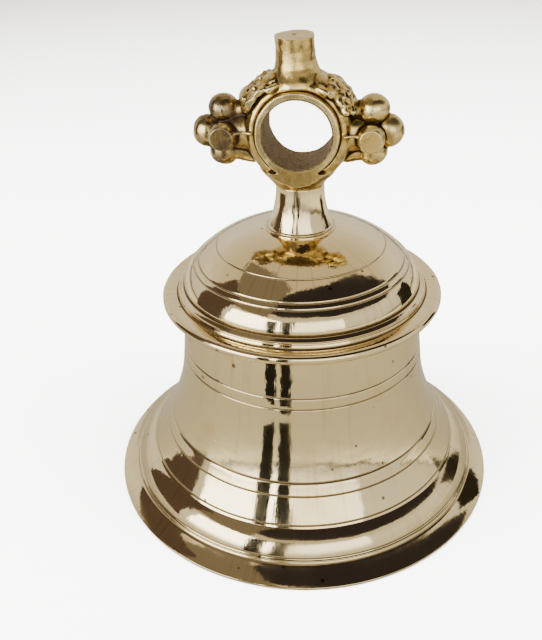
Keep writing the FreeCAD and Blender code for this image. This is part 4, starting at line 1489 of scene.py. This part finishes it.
@dataclass
class Studio:
    """A pale floor, soft light and the boards that polished metal needs to show its shape.

    Distances are metres here.  The camera's pitch, roll and swing are radians; camera_aside is
    how many degrees it stands to the right of straight ahead.
    """

    floor_seen: str = "#FAFAF9"
    floor_near_shaded: str = "#535047"
    floor_far: str = "#77746A"
    camera_reach: float = 0.468895
    camera_height: float = 0.400502
    camera_pitch: float = 0.5401812
    camera_roll: float = -0.0321348
    camera_aside: float = 6.4
    camera_swing: float = 0.0469389
    camera_lens: float = 42.237

    def build(self) -> None:
        """Set up floor, panels, world, lights and camera."""
        self.lay_floor()
        for panel in self.panels():
            self.stand_panel(panel)
        self.fill_world()
        self.hang_lights()
        self.place_camera()

    def heading(self, turn: float, rise: float, reach: float, foot: float = 0.12) -> Place:
        """Find a place by its direction from the bell.

        Args:
            turn: degrees to the right of straight ahead, ahead being towards -Y.
            rise: degrees above the horizon.
            reach: distance over the floor in metres.
            foot: height that the direction starts from.

        Returns:
            The place in metres.
        """
        angle = math.radians(turn)
        height = foot + reach * math.tan(math.radians(rise))
        return (reach * math.sin(angle), -reach * math.cos(angle), max(height, 0.002))

    def ceiling_place(self, turn: float, rise: float, height: float = 1.7) -> Place:
        """Find a place on the ceiling by its direction from the bell."""
        reach = (height - 0.15) / math.tan(math.radians(rise))
        return self.heading(turn, rise, reach, 0.15)

    def panels(self) -> list[Panel]:
        """The boards and cloths, nearest first.

        Returns:
            Every panel.
        """
        # The two legs lean back from the floor in front of the bell, and widen as they rise.
        near, far, top = 0.285, 0.86, 0.62
        near_spread, far_spread, aside = 0.19, 0.78, 0.012
        legs = []
        for name, left, right in (("flag_leg_left", -28.0, -15.9),
                                  ("flag_leg_right", -11.0, 0.5)):
            leftward = math.tan(math.radians(left))
            rightward = math.tan(math.radians(right))
            legs.append(Panel(name, "#2C2B29", 0.9, (
                (near_spread * leftward - aside, -near, 0.002),
                (near_spread * rightward - aside, -near, 0.002),
                (far_spread * rightward - aside, -far, top),
                (far_spread * leftward - aside, -far, top))))
        ceiling = [(-28, 46), (-12, 40), (40, 38), (75, 33), (100, 27), (118, 30), (118, 56),
                   (80, 74), (0, 78), (-28, 72)]
        tan_wall = [(-128, 52), (-100, 50), (-70, 36), (-28, 33), (-28, 78), (-90, 80)]
        return legs + [
            Panel("board_brown", "#816C63", 0.55, (
                self.heading(-99, -20, 0.66), self.heading(-67, -20, 0.66),
                self.heading(-67, 46, 0.66), self.heading(-99, 50, 0.66))),
            Panel("board_dark_right", "#3B362F", 0.7, (
                self.heading(104, -20, 0.75), self.heading(123, -20, 0.75),
                self.heading(123, 21, 0.75), self.heading(104, 17, 0.75))),
            Panel("cloth_over_right", "#5A5156", 0.38, tuple(
                self.ceiling_place(turn, rise) for turn, rise in ceiling)),
            Panel("cloth_over_left", "#BBAC98", 0.55, tuple(
                self.ceiling_place(turn, rise, 1.75) for turn, rise in tan_wall)),
            Panel("window_left", "#FFFFFF", 8.0, (
                self.heading(-64, -6, 1.5), self.heading(-12, -6, 1.5),
                self.heading(-12, 29, 1.5), self.heading(-64, 33, 1.5)), fade=0.3),
            Panel("window_right", "#FFFDF8", 3.4, (
                self.heading(-3, -6, 1.6), self.heading(46, -6, 1.6),
                self.heading(46, 30, 1.6), self.heading(-3, 31, 1.6)), fade=0.45),
        ]

    def stage_mesh(self, name: str, corners: tuple[Place, ...]) -> bpy.types.Object:
        """Make one flat part of the studio.

        Args:
            name: the object's name.
            corners: its corners in metres.

        Returns:
            The object.
        """
        mesh = bpy.data.meshes.new(name)
        mesh.from_pydata(corners, [], [tuple(range(len(corners)))])
        made = link_object(name, mesh)
        return made

    def stand_panel(self, panel: Panel) -> None:
        """Stand one panel.

        Args:
            panel: what to stand.
        """
        board = self.stage_mesh(panel.name, panel.corners)
        cloth = bpy.data.materials.new(panel.name)
        cloth.use_nodes = True
        tree = cloth.node_tree
        tree.nodes.clear()
        glow = add_node(tree, "Emission", inputs={"Color": linear(panel.colour),
                                                  "Strength": panel.power})
        output = add_node(tree, "OutputMaterial")
        tree.links.new(self.faded(tree, glow, panel.fade), output.inputs["Surface"])
        board.data.materials.append(cloth)
        board.visible_camera = False
        board.visible_shadow = False
        board.visible_diffuse = False

    def faded(self, tree: bpy.types.NodeTree, glow: bpy.types.Node, fade: float
              ) -> bpy.types.NodeSocket:
        """Let a panel fade out at its top and bottom.

        Args:
            tree: the panel's node tree.
            glow: what the panel shows where it hasn't faded.
            fade: share of its height that each fading edge takes, or 0 for a crisp edge.

        Returns:
            The panel's surface.
        """
        if not fade:
            return glow.outputs[0]
        where = add_node(tree, "TexCoord")
        parts = add_node(tree, "SeparateXYZ", inputs={0: where.outputs["Generated"]})
        rising = add_node(tree, "MapRange", {"interpolation_type": "SMOOTHSTEP"}, {
            "Value": parts.outputs["Z"], "From Min": 0.0, "From Max": fade})
        falling = add_node(tree, "MapRange", {"interpolation_type": "SMOOTHSTEP"}, {
            "Value": parts.outputs["Z"], "From Min": 1.0 - 0.5 * fade, "From Max": 1.0,
            "To Min": 1.0, "To Max": 0.0})
        share = add_node(tree, "Math", {"operation": "MULTIPLY"}, {
            0: rising.outputs[0], 1: falling.outputs[0]})
        clear = add_node(tree, "BsdfTransparent")
        blend = add_node(tree, "MixShader", inputs={
            0: share.outputs[0], 1: clear.outputs[0], 2: glow.outputs[0]})
        return blend.outputs[0]

    def lay_floor(self) -> None:
        """Lay the floor: pale when looked at, darker in every reflection and bounce of light,
        and darkest near the bell, where shade is painted on.
        """
        floor = self.stage_mesh("floor", ((-9, -9, 0), (9, -9, 0), (9, 9, 0), (-9, 9, 0)))
        paper = bpy.data.materials.new("pale seamless paper")
        paper.use_nodes = True
        tree = paper.node_tree
        shader = tree.nodes["Principled BSDF"]
        where = add_node(tree, "TexCoord")
        reach = add_node(tree, "VectorMath", {"operation": "LENGTH"},
                         {0: where.outputs["Object"]})
        # Painted shade: in reflections and bounces the floor is darkest near the bell and
        # lighter further out.
        far = add_node(tree, "MapRange", {"interpolation_type": "SMOOTHSTEP"}, {
            "Value": reach.outputs["Value"], "From Min": 0.28, "From Max": 1.1})
        mirrored = add_node(tree, "Mix", {"data_type": "RGBA"}, {
            0: far.outputs[0], 6: linear(self.floor_near_shaded), 7: linear(self.floor_far)})
        path = add_node(tree, "LightPath")
        tone = add_node(tree, "Mix", {"data_type": "RGBA"}, {
            0: path.outputs["Is Camera Ray"], 6: mirrored.outputs[2],
            7: linear(self.floor_seen)})
        tree.links.new(tone.outputs[2], shader.inputs["Base Color"])
        shader.inputs["Roughness"].default_value = 0.95
        floor.data.materials.append(paper)

    def fill_world(self) -> None:
        """Fill the surroundings with soft light, dimmer overhead."""
        world = bpy.data.worlds.new("studio")
        bpy.context.scene.world = world
        world.use_nodes = True
        tree = world.node_tree
        tree.nodes.clear()
        where = add_node(tree, "TexCoord")
        parts = add_node(tree, "SeparateXYZ", inputs={0: where.outputs["Generated"]})
        tone = add_node(tree, "ValToRGB", inputs={"Fac": parts.outputs["Z"]},
                        stops=[(0.0, "#E4DFD6"), (0.35, "#F4F0E8"), (0.62, "#DDD2BE"),
                               (0.85, "#D2C4AB")])
        light = add_node(tree, "Background", inputs={"Color": tone.outputs["Color"],
                                                     "Strength": 1.35})
        output = add_node(tree, "OutputWorld")
        tree.links.new(light.outputs[0], output.inputs["Surface"])

    def hang_lights(self) -> None:
        """Hang soft boxes at both sides and above."""
        boxes = {
            "soft_box_left": ((-1.3, -0.5, 1.3), (1.2, 1.2), 150.0),
            "soft_box_right": ((1.4, -0.2, 1.3), (1.2, 1.2), 130.0),
            "soft_box_above": ((0.0, 0.3, 2.2), (2.4, 2.4), 260.0),
        }
        for name, (place, size, power) in boxes.items():
            lamp = bpy.data.lights.new(name, "AREA")
            lamp.shape = "RECTANGLE"
            lamp.size, lamp.size_y = size
            lamp.energy = power
            box = bpy.data.objects.new(name, lamp)
            box.location = place
            aim = Vector((0.0, 0.0, 0.12)) - Vector(place)
            box.rotation_euler = aim.to_track_quat("-Z", "Y").to_euler()
            box.visible_glossy = False
            bpy.context.scene.collection.objects.link(box)

    def place_camera(self) -> None:
        """Place the camera in front of the bell and above it, looking down at it."""
        pitch, roll = self.camera_pitch, self.camera_roll
        turn = math.radians(self.camera_aside)
        heading = turn + self.camera_swing
        forward = Matrix.Rotation(heading, 3, "Z") @ Vector((0, math.cos(pitch),
                                                             -math.sin(pitch)))
        right = Matrix.Rotation(heading, 3, "Z") @ Vector((1, 0, 0))
        up = right.cross(forward)
        across = math.cos(roll) * right + math.sin(roll) * up
        upward = -math.sin(roll) * right + math.cos(roll) * up
        lens = bpy.data.cameras.new("camera")
        lens.lens = self.camera_lens
        camera = bpy.data.objects.new("camera", lens)
        axes = Matrix((across, upward, -forward)).transposed()
        stand = (self.camera_reach * math.sin(turn), -self.camera_reach * math.cos(turn),
                 self.camera_height)
        camera.matrix_world = Matrix.Translation(stand) @ axes.to_4x4()
        bpy.context.scene.collection.objects.link(camera)
        bpy.context.scene.camera = camera


def main() -> None:
    """Build every piece, the studio and the size note."""
    logging.basicConfig(level=logging.INFO, format="%(name)s: %(message)s")
    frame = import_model()
    turned = BellAndCollar()
    turned.build_bell()
    turned.build_collar()
    CrownHandle().build()
    InnerPieces().build(frame["nodes"])
    Studio().build()


if __name__ == "__main__":
    main()
